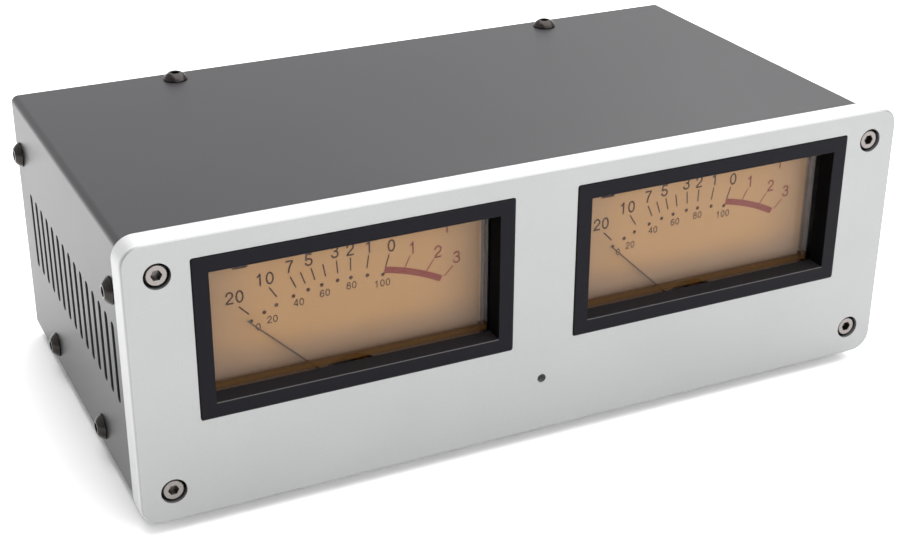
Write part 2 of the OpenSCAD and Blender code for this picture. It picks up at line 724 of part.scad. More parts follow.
// the meter's case: an open box with a clip rim, a ledge for the dial plate, posts
// for the movement, and holes for studs and lamp pins
module meter_case() {
    inner_half = meter_body_half - meter_wall;
    difference() {
        union() {
            plate(meter_front, meter_d - lens_flange_t) translate([0, flange_z])
                rounded(2 * meter_body_half, flange_h, 1);
            plate(meter_front, meter_rim_t) translate([0, flange_z])
                rounded(2 * meter_half_w, flange_h, 1);
        }
        difference() {
            box([-inner_half, meter_front - 1, meter_z0 + meter_wall],
                [inner_half, back_in, meter_z1 - meter_wall]);
            each_side() box([inner_half - dial_shelf_w, dial_back, dial_z0],
                [inner_half + 1, back_in + 1, meter_z1]);
            for (z = [-mount_r, mount_r]) at(pivot_shift, pivot_z + z)
                bar_y(core_y1, back_in + eps, post_r);
        }
        for (z = [-mount_r, mount_r]) at(pivot_shift, pivot_z + z)
            bar_y(core_y1 - 1, meter_back + 1, mount_screw_d / 2 + 0.1);
        for (x = [-stud_x, stud_x]) at(pivot_shift + x, pivot_z)
            bar_y(back_in - 1, meter_back + 1, stud_r + slip);
        for (x = [-lamp_pin_x, lamp_pin_x]) at(pivot_shift + x, lamp_z)
            bar_y(back_in - 1, meter_back + 1, lamp_pin_r + slip);
    }
}
module meter_case_left() color([0.12, 0.12, 0.13]) placed() at(meter_at[0], 0) meter_case();
module meter_case_right() color([0.12, 0.12, 0.13]) placed() at(meter_at[1], 0) meter_case();

// a turning piece of a movement, at its axis and turned to the resting pointer
module on_axis(side) placed() at(meter_at[side] + pivot_shift, pivot_z)
    rotate([0, -rest_angle, 0]) children();

// the pointer: hub, balance arms, a tongue that bends forward past the dial plate,
// and a tapered needle in front of the dial
module pointer() {
    root = pointer_root_w / 2;
    difference() {
        union() {
            bar_y(hub_y, hub_y + hub_t, 2);
            plate(hub_y, hub_t) {
                translate([-root, 0]) square([2 * root, jog_r0 + 0.5]);
                for (a = [135, 180, 225]) rotate(a) translate([-0.4, 0]) square([0.8, arm_r]);
            }
            for (a = [135, 180, 225]) rotate([0, a, 0]) at(0, arm_r - 1)
                bar_y(hub_y - 0.2, hub_y + hub_t + 0.2, 0.9);
            across(root) polygon([
                [hub_y, jog_r0], [hub_y + hub_t, jog_r0], [hub_y + hub_t, jog_r0 + 0.5],
                [pointer_y + pointer_t, jog_r1], [pointer_y, jog_r1], [pointer_y, jog_r1 - 0.5]]);
            plate(pointer_y, pointer_t) polygon([
                [-root, jog_r1 - 0.5], [root, jog_r1 - 0.5],
                [pointer_tip_w / 2, pointer_l], [-pointer_tip_w / 2, pointer_l]]);
        }
        bar_y(hub_y - 1, hub_y + 2, staff_r + eps);
    }
}
module pointer_left() color([0.12, 0.1, 0.1]) on_axis(0) pointer();
module pointer_right() color([0.12, 0.1, 0.1]) on_axis(1) pointer();

// the moving coil: a rectangular former round the core, with a pivot at each end
module coil() {
    difference() {
        box([-coil_out, coil_y0, -coil_w / 2], [coil_out, coil_y1, coil_w / 2]);
        box([-coil_in, coil_y0 + coil_end_t, -coil_w], [coil_in, coil_y1 - coil_end_t, coil_w]);
        each_side() box([coil_out - 0.3, coil_y0 + 1, -coil_w / 2 + 0.5],
            [coil_out + 1, coil_y1 - 1, coil_w / 2 - 0.5]);
    }
    bar_y(bridge_y + bridge_t - staff_in, coil_y0 + eps, staff_r);
    bar_y(coil_y1 - eps, rear_bridge_y + staff_in, staff_r);
}
module coil_left() color([0.72, 0.4, 0.2]) on_axis(0) coil();
module coil_right() color([0.72, 0.4, 0.2]) on_axis(1) coil();

// a still piece of a movement, at its axis
module in_meters() placed() each_meter() at(pivot_shift, pivot_z) children();

module magnet_cores() color([0.55, 0.56, 0.58]) in_meters() bar_y(core_y0, core_y1, core_r);

module core_holders() color("peru") in_meters() for (s = [-1, 1]) difference() {
    scale([1, 1, s]) box([-holder_w / 2, core_y0 + 1.5, core_r - 1],
        [holder_w / 2, core_y1 - 1.5, yoke_in + 1]);
    bar_y(core_y0, core_y1, core_r + eps);
    ring_y(core_y0, core_y1, yoke_in - eps, yoke_out + 1);
}

module yokes() color([0.5, 0.5, 0.52]) in_meters() difference() {
    ring_y(core_y0, core_y1, yoke_in, yoke_out);
    for (z = [-mount_r, mount_r]) at(0, z) bar_y(core_y1 - 2.5, core_y1 + 1, mount_screw_d / 2);
}

// a pivot bridge: a bar across the axis on two legs that stand on the yoke
module bridge(bar_y0, leg_y0, leg_y1) difference() {
    union() {
        box([-yoke_out, bar_y0, -bridge_h / 2], [yoke_out, bar_y0 + bridge_t, bridge_h / 2]);
        each_side() box([yoke_out - leg_w, leg_y0, -bridge_h / 2], [yoke_out, leg_y1, bridge_h / 2]);
    }
    bar_y(bar_y0 - 1, bar_y0 + bridge_t + 1, jewel_r);
}
module pivot_bridges() color("goldenrod") in_meters() intersection() {
    union() {
        bridge(bridge_y, bridge_y, core_y0);
        bridge(rear_bridge_y, core_y1, rear_bridge_y + bridge_t);
        // posts that hold the outer ends of the hairsprings
        at(spring_end, 0) {
            bar_y(bridge_y + bridge_t - eps, spring_y + spring_h, post_spring_r);
            bar_y(rear_spring_y, rear_bridge_y + eps, post_spring_r);
        }
    }
    bar_y(0, deep, yoke_out);
}

// a jewel screw: threaded through its bridge, with a cup for the pivot
module jewel(l) difference() {
    cylinder(h = l, r = jewel_r - thread_gap);
    translate([0, 0, l - cup_l]) cylinder(h = l, r = staff_r + run_gap);
    translate([-2, -0.2, -eps]) cube([4, 0.4, 0.5]);
}
module jewel_screws() color("gold") in_meters() {
    translate([0, bridge_y + bridge_t - jewel_l + jewel_out, 0]) rotate([-90, 0, 0]) jewel(jewel_l);
    translate([0, rear_bridge_y + jewel_l - jewel_out, 0]) rotate([90, 0, 0]) jewel(jewel_l);
}

// a flat spiral of half turns, each a little wider than the one before
module hairspring(y) translate([0, y, 0]) rotate([-90, 0, 0]) {
    for (k = [0 : 2 * spring_turns - 1]) {
        s = k % 2 == 0 ? 1 : -1;
        r = spring_r0 + k * spring_pitch / 2 + spring_pitch / 4;
        translate([-s * spring_pitch / 4, 0, 0]) rotate([0, 0, s > 0 ? 0 : 180])
            rotate_extrude(angle = 180) translate([r, 0]) square([spring_t, spring_h]);
    }
    // collet round the pivot
    difference() {
        cylinder(h = spring_h, r = spring_r0 + spring_t);
        translate([0, 0, -1]) cylinder(h = spring_h + 2, r = staff_r + 2 * run_gap);
    }
}
module hairsprings() color([0.7, 0.6, 0.3]) in_meters() {
    hairspring(spring_y);
    hairspring(rear_spring_y);
}

module movement_screws() color("gainsboro") in_meters() for (z = [-mount_r, mount_r])
    translate([0, meter_back, z]) rotate([-90, 0, 0])
        slotted_screw(mount_screw_d, meter_back - core_y1 + 2.2, 3, 1);

module terminal_studs() color("gold") in_meters() for (x = [-stud_x, stud_x]) at(x, 0) {
    bar_y(back_in - stud_head_h, back_in, stud_head_r);
    bar_y(back_in - eps, stud_end, stud_r - thread_gap);
}

module terminal_nuts() color("gold") in_meters() for (x = [-stud_x, stud_x]) at(x, 0)
    difference() {
        translate([0, meter_back + lug_t, 0]) rotate([-90, 0, 0])
            cylinder(h = stud_nut_h, r = stud_d * 1.05, $fn = 6);
        bar_y(meter_back, stud_end, stud_r);
    }

// a ring tongue under each nut, its tail bent back for the wire
module solder_lugs() color("silver") in_meters() for (x = [-stud_x, stud_x]) at(x, 0)
    difference() {
        union() {
            plate(meter_back, lug_t) {
                circle(lug_r);
                translate([-wire_d, 0]) square([2 * wire_d, lug_l]);
            }
            box([-wire_d, meter_back, lug_l - lug_t], [wire_d, meter_back + 4, lug_l]);
        }
        bar_y(meter_back - 1, stud_end, stud_r + slip);
    }

module lamp_boards() color("white") in_meters() {
    plate(back_in - lamp_board_t, lamp_board_t) translate([-pivot_shift, lamp_z - pivot_z])
        rounded(lamp_board_w, lamp_board_h, 1);
    for (x = [-lamp_pin_x, lamp_pin_x]) at(x, lamp_z - pivot_z)
        bar_y(back_in - lamp_board_t / 2, lamp_pin_end, lamp_pin_r);
}

// three flat lamps with a round lens on each board
module lamps() color([1, 0.9, 0.6]) in_meters() for (k = [-1, 0, 1])
    at(-pivot_shift + k * lamp_pitch, lamp_z - pivot_z) {
        y = back_in - lamp_board_t;
        box([-lamp_w / 2, y - lamp_h, -lamp_w / 2], [lamp_w / 2, y, lamp_w / 2]);
        bar_y(y - lamp_h - 0.3, y, lamp_lens_r);
    }

// a clip presses the rim of one or two meters on to the panel
module clip_half(reach) {
    box([0, clip_y, clip_z - clip_h / 2], [reach - meter_rim, clip_y + clip_t, clip_z + clip_h / 2]);
    box([reach - meter_rim - clip_t, clip_y, clip_z - clip_h / 2],
        [reach - meter_rim, rim_back + clip_t, clip_z + clip_h / 2]);
    box([reach - meter_rim - clip_t, rim_back, clip_z - clip_h / 2],
        [reach, rim_back + clip_t, clip_z + clip_h / 2]);
}
module meter_clips() color("lightgray") placed() difference() {
    union() {
        each_side() clip_half(meter_at[1] - meter_body_half - slip);
        each_side() translate([clip_x, 0, 0]) {
            box([-1, clip_y, clip_z - clip_h / 2], [clip_side_w, clip_y + clip_t, clip_z + clip_h / 2]);
            scale([-1, 1, 1]) clip_half(clip_x - meter_at[1] - meter_body_half - slip);
        }
    }
    for (x = [-clip_x, 0, clip_x]) at(x, clip_z) bar_y(0, clip_y + clip_t + 1, screw_r + hole_gap);
}
module clip_screws() color("gainsboro") placed() at_clip_screws()
    dome_screw(screw_d, clip_t + sheet_t + clip_screw_deep - 0.5, screw_head_d, screw_head_h);

module microphone() color([0.7, 0.7, 0.72]) placed() at(0, mic_z) {
    difference() {
        bar_y(mic_y0, mic_y0 + mic_l, mic_r);
        bar_y(mic_y0 - 1, mic_y0 + 0.4, mic_r - 1.2);
    }
    for (x = [-mic_pin_x, mic_pin_x]) at(x, 0)
        bar_y(mic_y0 + mic_l - eps, mic_y0 + mic_l + mic_pin_l, 0.3);
}

// a rubber sleeve with a groove that the front wall's edge sits in
module microphone_grommet() color([0.1, 0.1, 0.1]) placed() at(0, mic_z) difference() {
    union() {
        bar_y(case_y0, mic_y0 + mic_l - 0.5, grommet_r);
        bar_y(wall_y, wall_y + 1, grommet_r + grommet_lip);
    }
    bar_y(case_y0 - 1, mic_y0 + mic_l + 1, mic_r);
}

// a wire that runs back from [x, y0, z], bends down and ends on the board at y1
module down_lead(x, y0, z, y1) {
    bend = min(lead_bend, z - board_top - 0.2);
    at(x, z) bar_y(y0, y1 - bend, wire_r);
    translate([x, y1 - bend, z - bend]) rotate([90, 0, 90])
        rotate_extrude(angle = 90) translate([bend, 0]) circle(wire_r);
    translate([x, y1, board_top]) cylinder(h = z - bend - board_top, r = wire_r);
}

module meter_leads(side) {
    for (x = [-stud_x, stud_x])
        down_lead(meter_at[side] + pivot_shift + x, meter_back + 1, pivot_z + lug_l + wire_r,
            lead_y);
    for (x = [-lamp_pin_x, lamp_pin_x])
        down_lead(meter_at[side] + pivot_shift + x, lamp_pin_end, lamp_z, lead_y);
}
module meter_leads_left() color("firebrick") placed() meter_leads(0);
module meter_leads_right() color("firebrick") placed() meter_leads(1);

module microphone_leads() color("white") placed() for (x = [-mic_pin_x, mic_pin_x])
    down_lead(x, mic_y0 + mic_l + mic_pin_l, mic_z, lead_y);

module driver_board() color([0.1, 0.4, 0.25]) placed() difference() {
    translate([0, (board_y0 + board_y1) / 2, board_z])
        linear_extrude(board_t) rounded(board_w, board_d, 1.5);
    for (p = board_hole_at) translate([p[0], p[1], board_z - 1])
        cylinder(h = board_t + 2, r = screw_r + hole_gap);
}

module board_standoffs() color("gold") placed() for (p = board_hole_at)
    translate([p[0], p[1], floor_z]) difference() {
        union() {
            cylinder(h = standoff_h, r = screw_r * 2, $fn = 6);
            translate([0, 0, -sheet_t]) cylinder(h = sheet_t + eps, r = screw_r + hole_gap - thread_gap);
        }
        translate([0, 0, standoff_h - 5]) cylinder(h = 6, r = screw_r);
    }

module board_screws() color("gainsboro") placed() for (p = board_hole_at)
    translate([p[0], p[1], board_top]) dome_screw(screw_d, board_t + 3.5, screw_head_d, screw_head_h);

module capacitors() color([0.12, 0.14, 0.3]) placed() for (c = capacitor_at)
    translate([c[0], board_y0 + c[1], board_top]) difference() {
        cylinder(h = c[3], r = c[2]);
        translate([0, 0, 1.6]) rotate_extrude() translate([c[2] + 0.15, 0]) circle(0.45);
        translate([0, 0, c[3] - 0.3]) cylinder(h = 1, r = c[2] - 0.7);
    }

module amplifier_chips() color([0.08, 0.08, 0.09]) placed() for (x = chip_x)
    translate([x, board_y0 + chip_y, board_top]) {
        difference() {
            translate([-chip_w / 2, -chip_d / 2, chip_lift]) cube([chip_w, chip_d, chip_h]);
            translate([-chip_w / 2, 0, chip_h - chip_lift]) cylinder(h = chip_h, r = 0.9);
        }
        for (k = [-1.5 : 1.5], s = [-1, 1])
            translate([k * lead_pitch, s * (chip_d / 2 + 0.4), 0]) {
                translate([-0.25, -0.2, 0]) cube([0.5, 0.4, chip_lift + 1.5]);
                translate([-0.6, s > 0 ? -0.5 : -0.2, chip_lift + 0.9]) cube([1.2, 0.7, 0.6]);
            }
    }

module voltage_regulator() color([0.1, 0.1, 0.1]) placed()
    translate([regulator_x - regulator_w / 2, board_y0 + part_y, board_top]) {
        translate([0, 1 - regulator_t, regulator_lift])
            cube([regulator_w, regulator_t, regulator_h]);
        difference() {
            translate([0, 1 - eps, regulator_lift])
                cube([regulator_w, regulator_tab_t, regulator_tab_h]);
            translate([regulator_w / 2, 0, regulator_lift + regulator_tab_h - 2.8])
                bar_y(0, 1 + 2 * regulator_tab_t, 1.9);
        }
        for (k = [-1 : 1]) translate([regulator_w / 2 + k * lead_pitch - 0.4, -0.6, 0])
            cube([0.8, 0.5, regulator_lift + eps]);
    }

module trimmers() color([0.15, 0.35, 0.75]) placed() for (x = trimmer_x)
    translate([x, board_y0 + part_y, board_top]) {
        translate([-trimmer_w / 2, -trimmer_w / 2, 0]) cube([trimmer_w, trimmer_w, trimmer_h]);
        difference() {
            cylinder(h = trimmer_h + 0.6, r = trimmer_r);
            translate([-trimmer_r - 1, -0.35, trimmer_h + 0.2]) cube([2 * trimmer_r + 2, 0.7, 1]);
        }
    }

// small resistors, each lying between two bent leads
module resistors() color([0.8, 0.7, 0.5]) placed() for (k = [0 : 7])
    translate([resistor_x + resistor_pitch * k, board_y0 + resistor_y[k < 4 ? 0 : 1],
        board_top + resistor_lift]) {
        bar_y(-resistor_half, resistor_half, resistor_r);
        for (s = [-1, 1]) scale([1, s, 1]) {
            bar_y(resistor_half - 0.5, resistor_half + 0.6, resistor_r + 0.25);
            bar_y(resistor_half, resistor_lead_l, resistor_lead_r);
            translate([0, resistor_lead_l, 0]) sphere(resistor_lead_r);
            translate([0, resistor_lead_l, -resistor_lift])
                cylinder(h = resistor_lift, r = resistor_lead_r);
        }
    }

module at_phono() for (s = [-1, 1]) at(rca_x + s * rca_pitch / 2, axis_z) children();

module phono_housing() color([0.1, 0.1, 0.1]) placed() difference() {
    half = rca_pitch / 2 + rca_collar_r + 0.9;
    box([rca_x - half, rear_in - rca_body_d, board_top],
        [rca_x + half, rear_in, board_top + rca_body_h]);
    at_phono() bar_y(rear_in - 6, rear_in + 1, rca_root_r + slip);
    // a shallow notch under each socket
    for (s = [-1, 1]) box([rca_x + s * rca_pitch / 2 - 3, rear_in - rca_body_d - 1, board_top - 1],
        [rca_x + s * rca_pitch / 2 + 3, rear_in - rca_body_d + 3, board_top + 1]);
}

module phono_sleeves() color("silver") placed() at_phono() difference() {
    union() {
        bar_y(rear_in - 6, tray_y1 + rca_l - 1, rca_root_r);
        bar_y(tray_y1 + rca_collar_l, tray_y1 + rca_l - 0.3, rca_r);
        bar_y(tray_y1 + rca_l - 0.3, tray_y1 + rca_l, rca_r, rca_r - 0.3);
    }
    bar_y(rear_in - 5, tray_y1 + rca_l + 1, rca_r - rca_wall);
}

module phono_inserts() placed() for (s = [-1, 1]) color(s < 0 ? "white" : "red")
    at(rca_x + s * rca_pitch / 2, axis_z) {
        ring_y(rear_in, tray_y1 + rca_collar_l, rca_root_r + run_gap, rca_collar_r);
        difference() {
            bar_y(rear_in - 5, tray_y1 + rca_l - 1.2, rca_r - rca_wall - run_gap);
            bar_y(tray_y1, tray_y1 + rca_l, rca_contact_r);
        }
    }

module power_socket() color([0.1, 0.1, 0.1]) placed() {
    mouth = tray_y1 + 0.4;
    difference() {
        union() {
            box([dc_x - dc_body_w / 2, rear_in - dc_body_l, board_top],
                [dc_x + dc_body_w / 2, rear_in, board_top + dc_body_h]);
            at(dc_x, axis_z) bar_y(rear_in - eps, mouth, dc_snout_r);
        }
        at(dc_x, axis_z) {
            bar_y(mouth - 9.5, mouth + 1, dc_bore / 2);
            bar_y(mouth - 11, mouth, dc_pin_d / 2 + 0.02);
        }
    }
    at(dc_x, axis_z) bar_y(mouth - 11, mouth - 1, dc_pin_d / 2);
}

module toggle_switch(x) translate([x, 0, 0]) difference() {
    union() {
        box([-switch_body_w / 2, rear_in - switch_body_l, board_top],
            [switch_body_w / 2, rear_in, board_top + switch_body_h]);
        at(0, axis_z) {
            bar_y(rear_in - eps, tray_y1 + switch_neck_l - 0.4, switch_neck_r);
            bar_y(tray_y1 + switch_neck_l - 0.4, tray_y1 + switch_neck_l, switch_neck_r,
                switch_neck_r - 0.3);
        }
    }
    at(0, axis_z) bar_y(lever_pivot_y - 4.1, tray_y1 + switch_neck_l + 1, switch_bore_r);
}
module power_switch() color([0.15, 0.3, 0.6]) placed() toggle_switch(power_x);
module input_switch() color([0.15, 0.3, 0.6]) placed() toggle_switch(input_x);

// a lever that rocks in its neck, drawn in its lower position
module toggle_lever(x) placed() translate([x, lever_pivot_y, axis_z])
    rotate([-switch_throw / 2, 0, 0]) {
        tip = 4.5 + lever_l;
        sphere(lever_ball_r);
        bar_y(0, tip - 1.4, 1.05, 1.4);
        translate([0, tip - 1.4, 0]) sphere(1.4);
        bar_y(-3.5, 0, 0.8);
    }
module power_lever() color("silver") toggle_lever(power_x);
module input_lever() color("silver") toggle_lever(input_x);

module rear_nut(r_in, across_flats) difference() {
    rotate([-90, 0, 0]) cylinder(h = rear_nut_h, r = across_flats / sqrt(3), $fn = 6);
    bar_y(-1, rear_nut_h + 1, r_in);
}
module rear_nuts() color("silver") placed() translate([0, tray_y1, axis_z]) {
    for (x = [power_x, input_x]) translate([x, 0, 0])
        rear_nut(switch_neck_r + thread_gap, switch_neck_d + 2);
    translate([level_x, 0, 0]) rear_nut(level_neck_r + thread_gap, level_neck_d + 3);
}

module level_control() color([0.2, 0.35, 0.6]) placed() difference() {
    union() {
        box([level_x - level_body_w / 2, rear_in - level_body_l, board_top],
            [level_x + level_body_w / 2, rear_in, board_top + level_body_h]);
        at(level_x, axis_z) bar_y(rear_in - eps, tray_y1 + level_neck_l, level_neck_r);
    }
    at(level_x, axis_z) bar_y(rear_in - 6, knob_y, shaft_r + run_gap);
}

module level_shaft() color("silver") placed() at(level_x, axis_z)
    bar_y(rear_in - 6 + run_gap, knob_y + knob_l - 3, shaft_r);

module level_knob() color([0.1, 0.1, 0.1]) placed() at(level_x, axis_z) difference() {
    union() {
        bar_y(knob_y, knob_y + knob_l - 0.8, knob_r);
        bar_y(knob_y + knob_l - 0.8, knob_y + knob_l, knob_r, knob_r - 0.8);
    }
    bar_y(knob_y - 1, knob_y + knob_l - 3, shaft_r + 0.02);
    for (k = [0 : knob_grooves - 1]) rotate([0, k * 360 / knob_grooves, 0])
        at(knob_r + 0.25, 0) bar_y(knob_y + 3, knob_y + knob_l + 1, 0.55);
    // the pointer line on the knob's end
    box([-0.4, knob_y + knob_l - 0.4, 2], [0.4, knob_y + knob_l + 1, knob_r]);
}

front_panel();
panel_screws();
cover();
cover_screws();
chassis();
clinch_nuts();
feet();
foot_screws();
bezel_left();
bezel_right();
window_left();
window_right();
dial_left();
dial_right();
meter_case_left();
meter_case_right();
pointer_left();
pointer_right();
coil_left();
coil_right();
magnet_cores();
core_holders();
yokes();
pivot_bridges();
jewel_screws();
hairsprings();
movement_screws();
terminal_studs();
terminal_nuts();
solder_lugs();
lamp_boards();
lamps();
meter_clips();
clip_screws();
microphone();
microphone_grommet();
microphone_leads();
meter_leads_left();
meter_leads_right();
driver_board();
board_standoffs();
board_screws();
capacitors();
amplifier_chips();
voltage_regulator();
trimmers();
resistors();
phono_housing();
phono_sleeves();
phono_inserts();
power_socket();
power_switch();
power_lever();
input_switch();
input_lever();
rear_nuts();
level_control();
level_shaft();
level_knob();
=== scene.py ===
"""Looks of the stereo level meter: a material for every CAD node, the printing on the two
dials, and a pale studio with the camera at the photograph's angle."""

import math

import bmesh
import bpy
from mathutils import Matrix, Vector


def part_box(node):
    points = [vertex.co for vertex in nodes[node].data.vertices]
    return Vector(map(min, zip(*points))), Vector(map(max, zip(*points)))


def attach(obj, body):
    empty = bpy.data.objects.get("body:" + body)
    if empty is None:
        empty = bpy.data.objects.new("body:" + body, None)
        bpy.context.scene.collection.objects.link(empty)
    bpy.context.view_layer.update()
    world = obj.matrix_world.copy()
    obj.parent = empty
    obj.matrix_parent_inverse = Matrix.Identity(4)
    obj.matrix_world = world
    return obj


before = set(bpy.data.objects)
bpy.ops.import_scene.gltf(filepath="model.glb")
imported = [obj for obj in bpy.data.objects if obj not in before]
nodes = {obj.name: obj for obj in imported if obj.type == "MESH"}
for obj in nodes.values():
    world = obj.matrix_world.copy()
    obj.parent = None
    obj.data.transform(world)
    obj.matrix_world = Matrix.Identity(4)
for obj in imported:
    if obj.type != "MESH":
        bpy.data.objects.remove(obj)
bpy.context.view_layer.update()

MM = 0.001
HOUSING = "housing"
SIDES = ("left", "right")
SHARP_ANGLE = 32.0  # degrees; a steeper edge stays sharp


# ---------------------------------------------------------------- shader helper


class Value:
    """A number's socket that takes part in sums, so shader maths reads as sums."""

    def __init__(self, shade, socket):
        self.shade = shade
        self.socket = socket

    def sum(self, operation, first, second=0.0):
        node = self.shade.node("ShaderNodeMath", {"operation": operation}, {0: first, 1: second})
        return Value(self.shade, node.outputs[0])

    def __add__(self, other):
        return self.sum("ADD", self, other)

    def __sub__(self, other):
        return self.sum("SUBTRACT", self, other)

    def __mul__(self, other):
        return self.sum("MULTIPLY", self, other)

    def __truediv__(self, other):
        return self.sum("DIVIDE", self, other)

    def __radd__(self, other):
        return self.sum("ADD", other, self)

    def __rsub__(self, other):
        return self.sum("SUBTRACT", other, self)

    def __rmul__(self, other):
        return self.sum("MULTIPLY", other, self)

    def __abs__(self):
        return self.sum("ABSOLUTE", self)

    def above(self, edge):
        return self.sum("GREATER_THAN", self, edge)

    def below(self, edge):
        return self.sum("LESS_THAN", self, edge)


class Nodes:
    """Short calls for the nodes of one tree."""

    def __init__(self, tree):
        self.tree = tree

    def node(self, kind, settings=None, sockets=None):
        made = self.tree.nodes.new(kind)
        for key, value in (settings or {}).items():
            setattr(made, key, value)
        for key, value in (sockets or {}).items():
            self.feed(made.inputs[key], value)
        return made

    def feed(self, socket, value):
        if isinstance(value, Value):
            value = value.socket
        if isinstance(value, bpy.types.NodeSocket):
            self.tree.links.new(value, socket)
        elif isinstance(value, tuple) and len(value) == 3 and socket.type == "RGBA":
            socket.default_value = (*value, 1.0)
        else:
            socket.default_value = value

    def clamp(self, value):
        made = self.node("ShaderNodeClamp", {}, {0: value})
        return Value(self, made.outputs[0])

    def apart(self, vector, names="XYZ"):
        """the named parts of a vector"""
        made = self.node("ShaderNodeSeparateXYZ", {}, {0: vector})
        return [Value(self, made.outputs[name]) for name in names]


class Shade(Nodes):
    """One material with a Principled shader."""

    def __init__(self, name):
        self.material = bpy.data.materials.new(name)
        self.material.use_nodes = True
        super().__init__(self.material.node_tree)
        self.shader = self.tree.nodes["Principled BSDF"]
        self.place = self.node("ShaderNodeTexCoord").outputs["Object"]

    def set(self, **sockets):
        for key, value in sockets.items():
            self.feed(self.shader.inputs[key.replace("_", " ")], value)

    def noise(self, scale, detail=2.0, rough=0.5, stretch=None):
        """noise between 0 and 1, scale in features per millimetre"""
        place = self.place
        if stretch:
            place = self.node(
                "ShaderNodeVectorMath", {"operation": "MULTIPLY"}, {0: place, 1: stretch}
            ).outputs[0]
        made = self.node(
            "ShaderNodeTexNoise",
            {},
            {"Vector": place, "Scale": scale / MM, "Detail": detail, "Roughness": rough},
        )
        return Value(self, made.outputs["Fac"])

    def bands(self, scale, distortion=0.0, detail=2.0):
        """bands across y between 0 and 1, one each WAVE_LENGTH / scale millimetres"""
        made = self.node(
            "ShaderNodeTexWave",
            {"wave_type": "BANDS", "bands_direction": "Y", "wave_profile": "SIN"},
            {"Vector": self.place, "Scale": scale / MM, "Distortion": distortion, "Detail": detail},
        )
        return Value(self, made.outputs["Fac"])

    def mix(self, amount, first, second, blend="MIX"):
        made = self.node(
            "ShaderNodeMix",
            {"data_type": "RGBA", "blend_type": blend},
            {0: amount, 6: first, 7: second},
        )
        return made.outputs[2]

    def axes(self, names="XYZ"):
        """the place along the named axes, in millimetres"""
        return [part * (1 / MM) for part in self.apart(self.place, names)]

    def open_air(self, reach, gain, drop):
        """1 on open surfaces, falling to 0 in corners and sockets narrower than reach
        millimetres, for painted shade: a larger gain narrows the fall, a larger drop darkens it"""
        made = self.node("ShaderNodeAmbientOcclusion", {"samples": 8}, {"Distance": reach * MM})
        return self.clamp(Value(self, made.outputs["AO"]) * gain - drop)

    def rounded(self, radius):
        """a normal that eases the edges of the mesh by radius millimetres"""
        made = self.node("ShaderNodeBevel", {"samples": 6}, {"Radius": radius * MM})
        return made.outputs[0]

    def bump(self, height, depth, normal=None):
        """bump of depth millimetres"""
        sockets = {"Height": height, "Distance": depth * MM, "Strength": 1.0}
        if normal:
            sockets["Normal"] = normal
        return self.node("ShaderNodeBump", {}, sockets).outputs[0]


WAVE_LENGTH = 0.314  # Blender's wave texture at scale 1 has a band this often
BROAD = 0.06  # a finish's broad cloud is this share as fine as its grain


def finish(name, colour, rough, metal=0.0, grain=3.0, tone=0.12, spread=0.1, depth=0.01,
           edge=0.0, stretch=None, specular=0.5):
    """A material with its own grain: tone varies the colour, spread the roughness, depth
    is the height of its bumps in millimetres and edge the radius of its eased edges."""
    shade = Shade(name)
    fine = shade.noise(grain, 3.0, 0.6, stretch=stretch)
    broad = shade.noise(grain * BROAD, 3.0, 0.55)
    dark = tuple(c * (1 - tone) for c in colour)
    light = tuple(min(1.0, c * (1 + tone)) for c in colour)
    mixed = shade.clamp(fine * 0.5 + broad * 0.5)
    shade.set(
        Base_Color=shade.mix(mixed, dark, light),
        Roughness=shade.clamp(rough - spread * 0.5 + broad * spread),
        Metallic=metal,
        Specular_IOR_Level=specular,
        Normal=shade.bump(fine, depth, shade.rounded(edge) if edge else None),
    )
    return shade


# ---------------------------------------------------------------- materials

# sizes of the solids that the materials follow, in millimetres
FRAME_BAR = 3.25
PANE_HALF = 31.55  # from the window's middle to the outside of its side wall
PANE_LIFT = 19.55  # the raised pane starts this far above the window's lower end
PANE_THICK = 1.2
PANE_WALL = 1.6
PANE_FOOT = 1.6
DIAL_HALF = 31.2
PHONO_PITCH = 14.0
CONTACT_RADIUS = 1.7
SWITCH_NECK = 7.8
LEVEL_NECK = 6.0
REAR_WALL = 1.2
THREAD_PITCH = 0.5
TRACK_LENGTH = 11.0
TRACK_PITCH = 2.54
TRACK_GAP = 0.28

# where finishes and painted light and shade meet on one piece, in millimetres, slopes per
# millimetre
SLACK = 0.1  # a mask starts this far off the face that it follows
EDGE_LIGHT_START = 0.2  # painted light: faces further than this behind the panel's face are painted brighter
EDGE_LIGHT_SLOPE = 4.0
FRAME_FACE = 0.2  # what lies further back is an inner wall
HIGHLIGHT_DROP = 0.05  # painted highlight: the bright line's middle, below the lower bar's inner edge
HIGHLIGHT_HALF = 0.13
HIGHLIGHT_DEPTH = 0.12  # how far back from the frame's face it reaches
AMBER_START = 0.7  # painted light: the amber fades from here up, above the pane's foot
AMBER_SLOPE = 0.55
GLOW_START = 2.5  # painted light: the dial brightens from this far above its lower edge
GLOW_RISE = 8.5  # and reaches its full tone this much higher

# painted shade: how the dials darken at their sides, by the share of their half width
DIM_SLOPE = 3.0
DIM_DROP = 1.75
SIDE_DIM = 0.42
DIAL_BORDER = 0.975
DIAL_GLOW = 0.18  # strength of the painted glow that a dial gives off, standing in for the lamps behind it

# how opaque each part of a window is
PANE_ALPHA = 0.006
SHINE_ALPHA = 0.35
HAZE_ALPHA = 0.01
WALL_ALPHA = 0.13
FOOT_ALPHA = 0.72

FACING_UP = 0.9  # a normal whose z is larger looks up


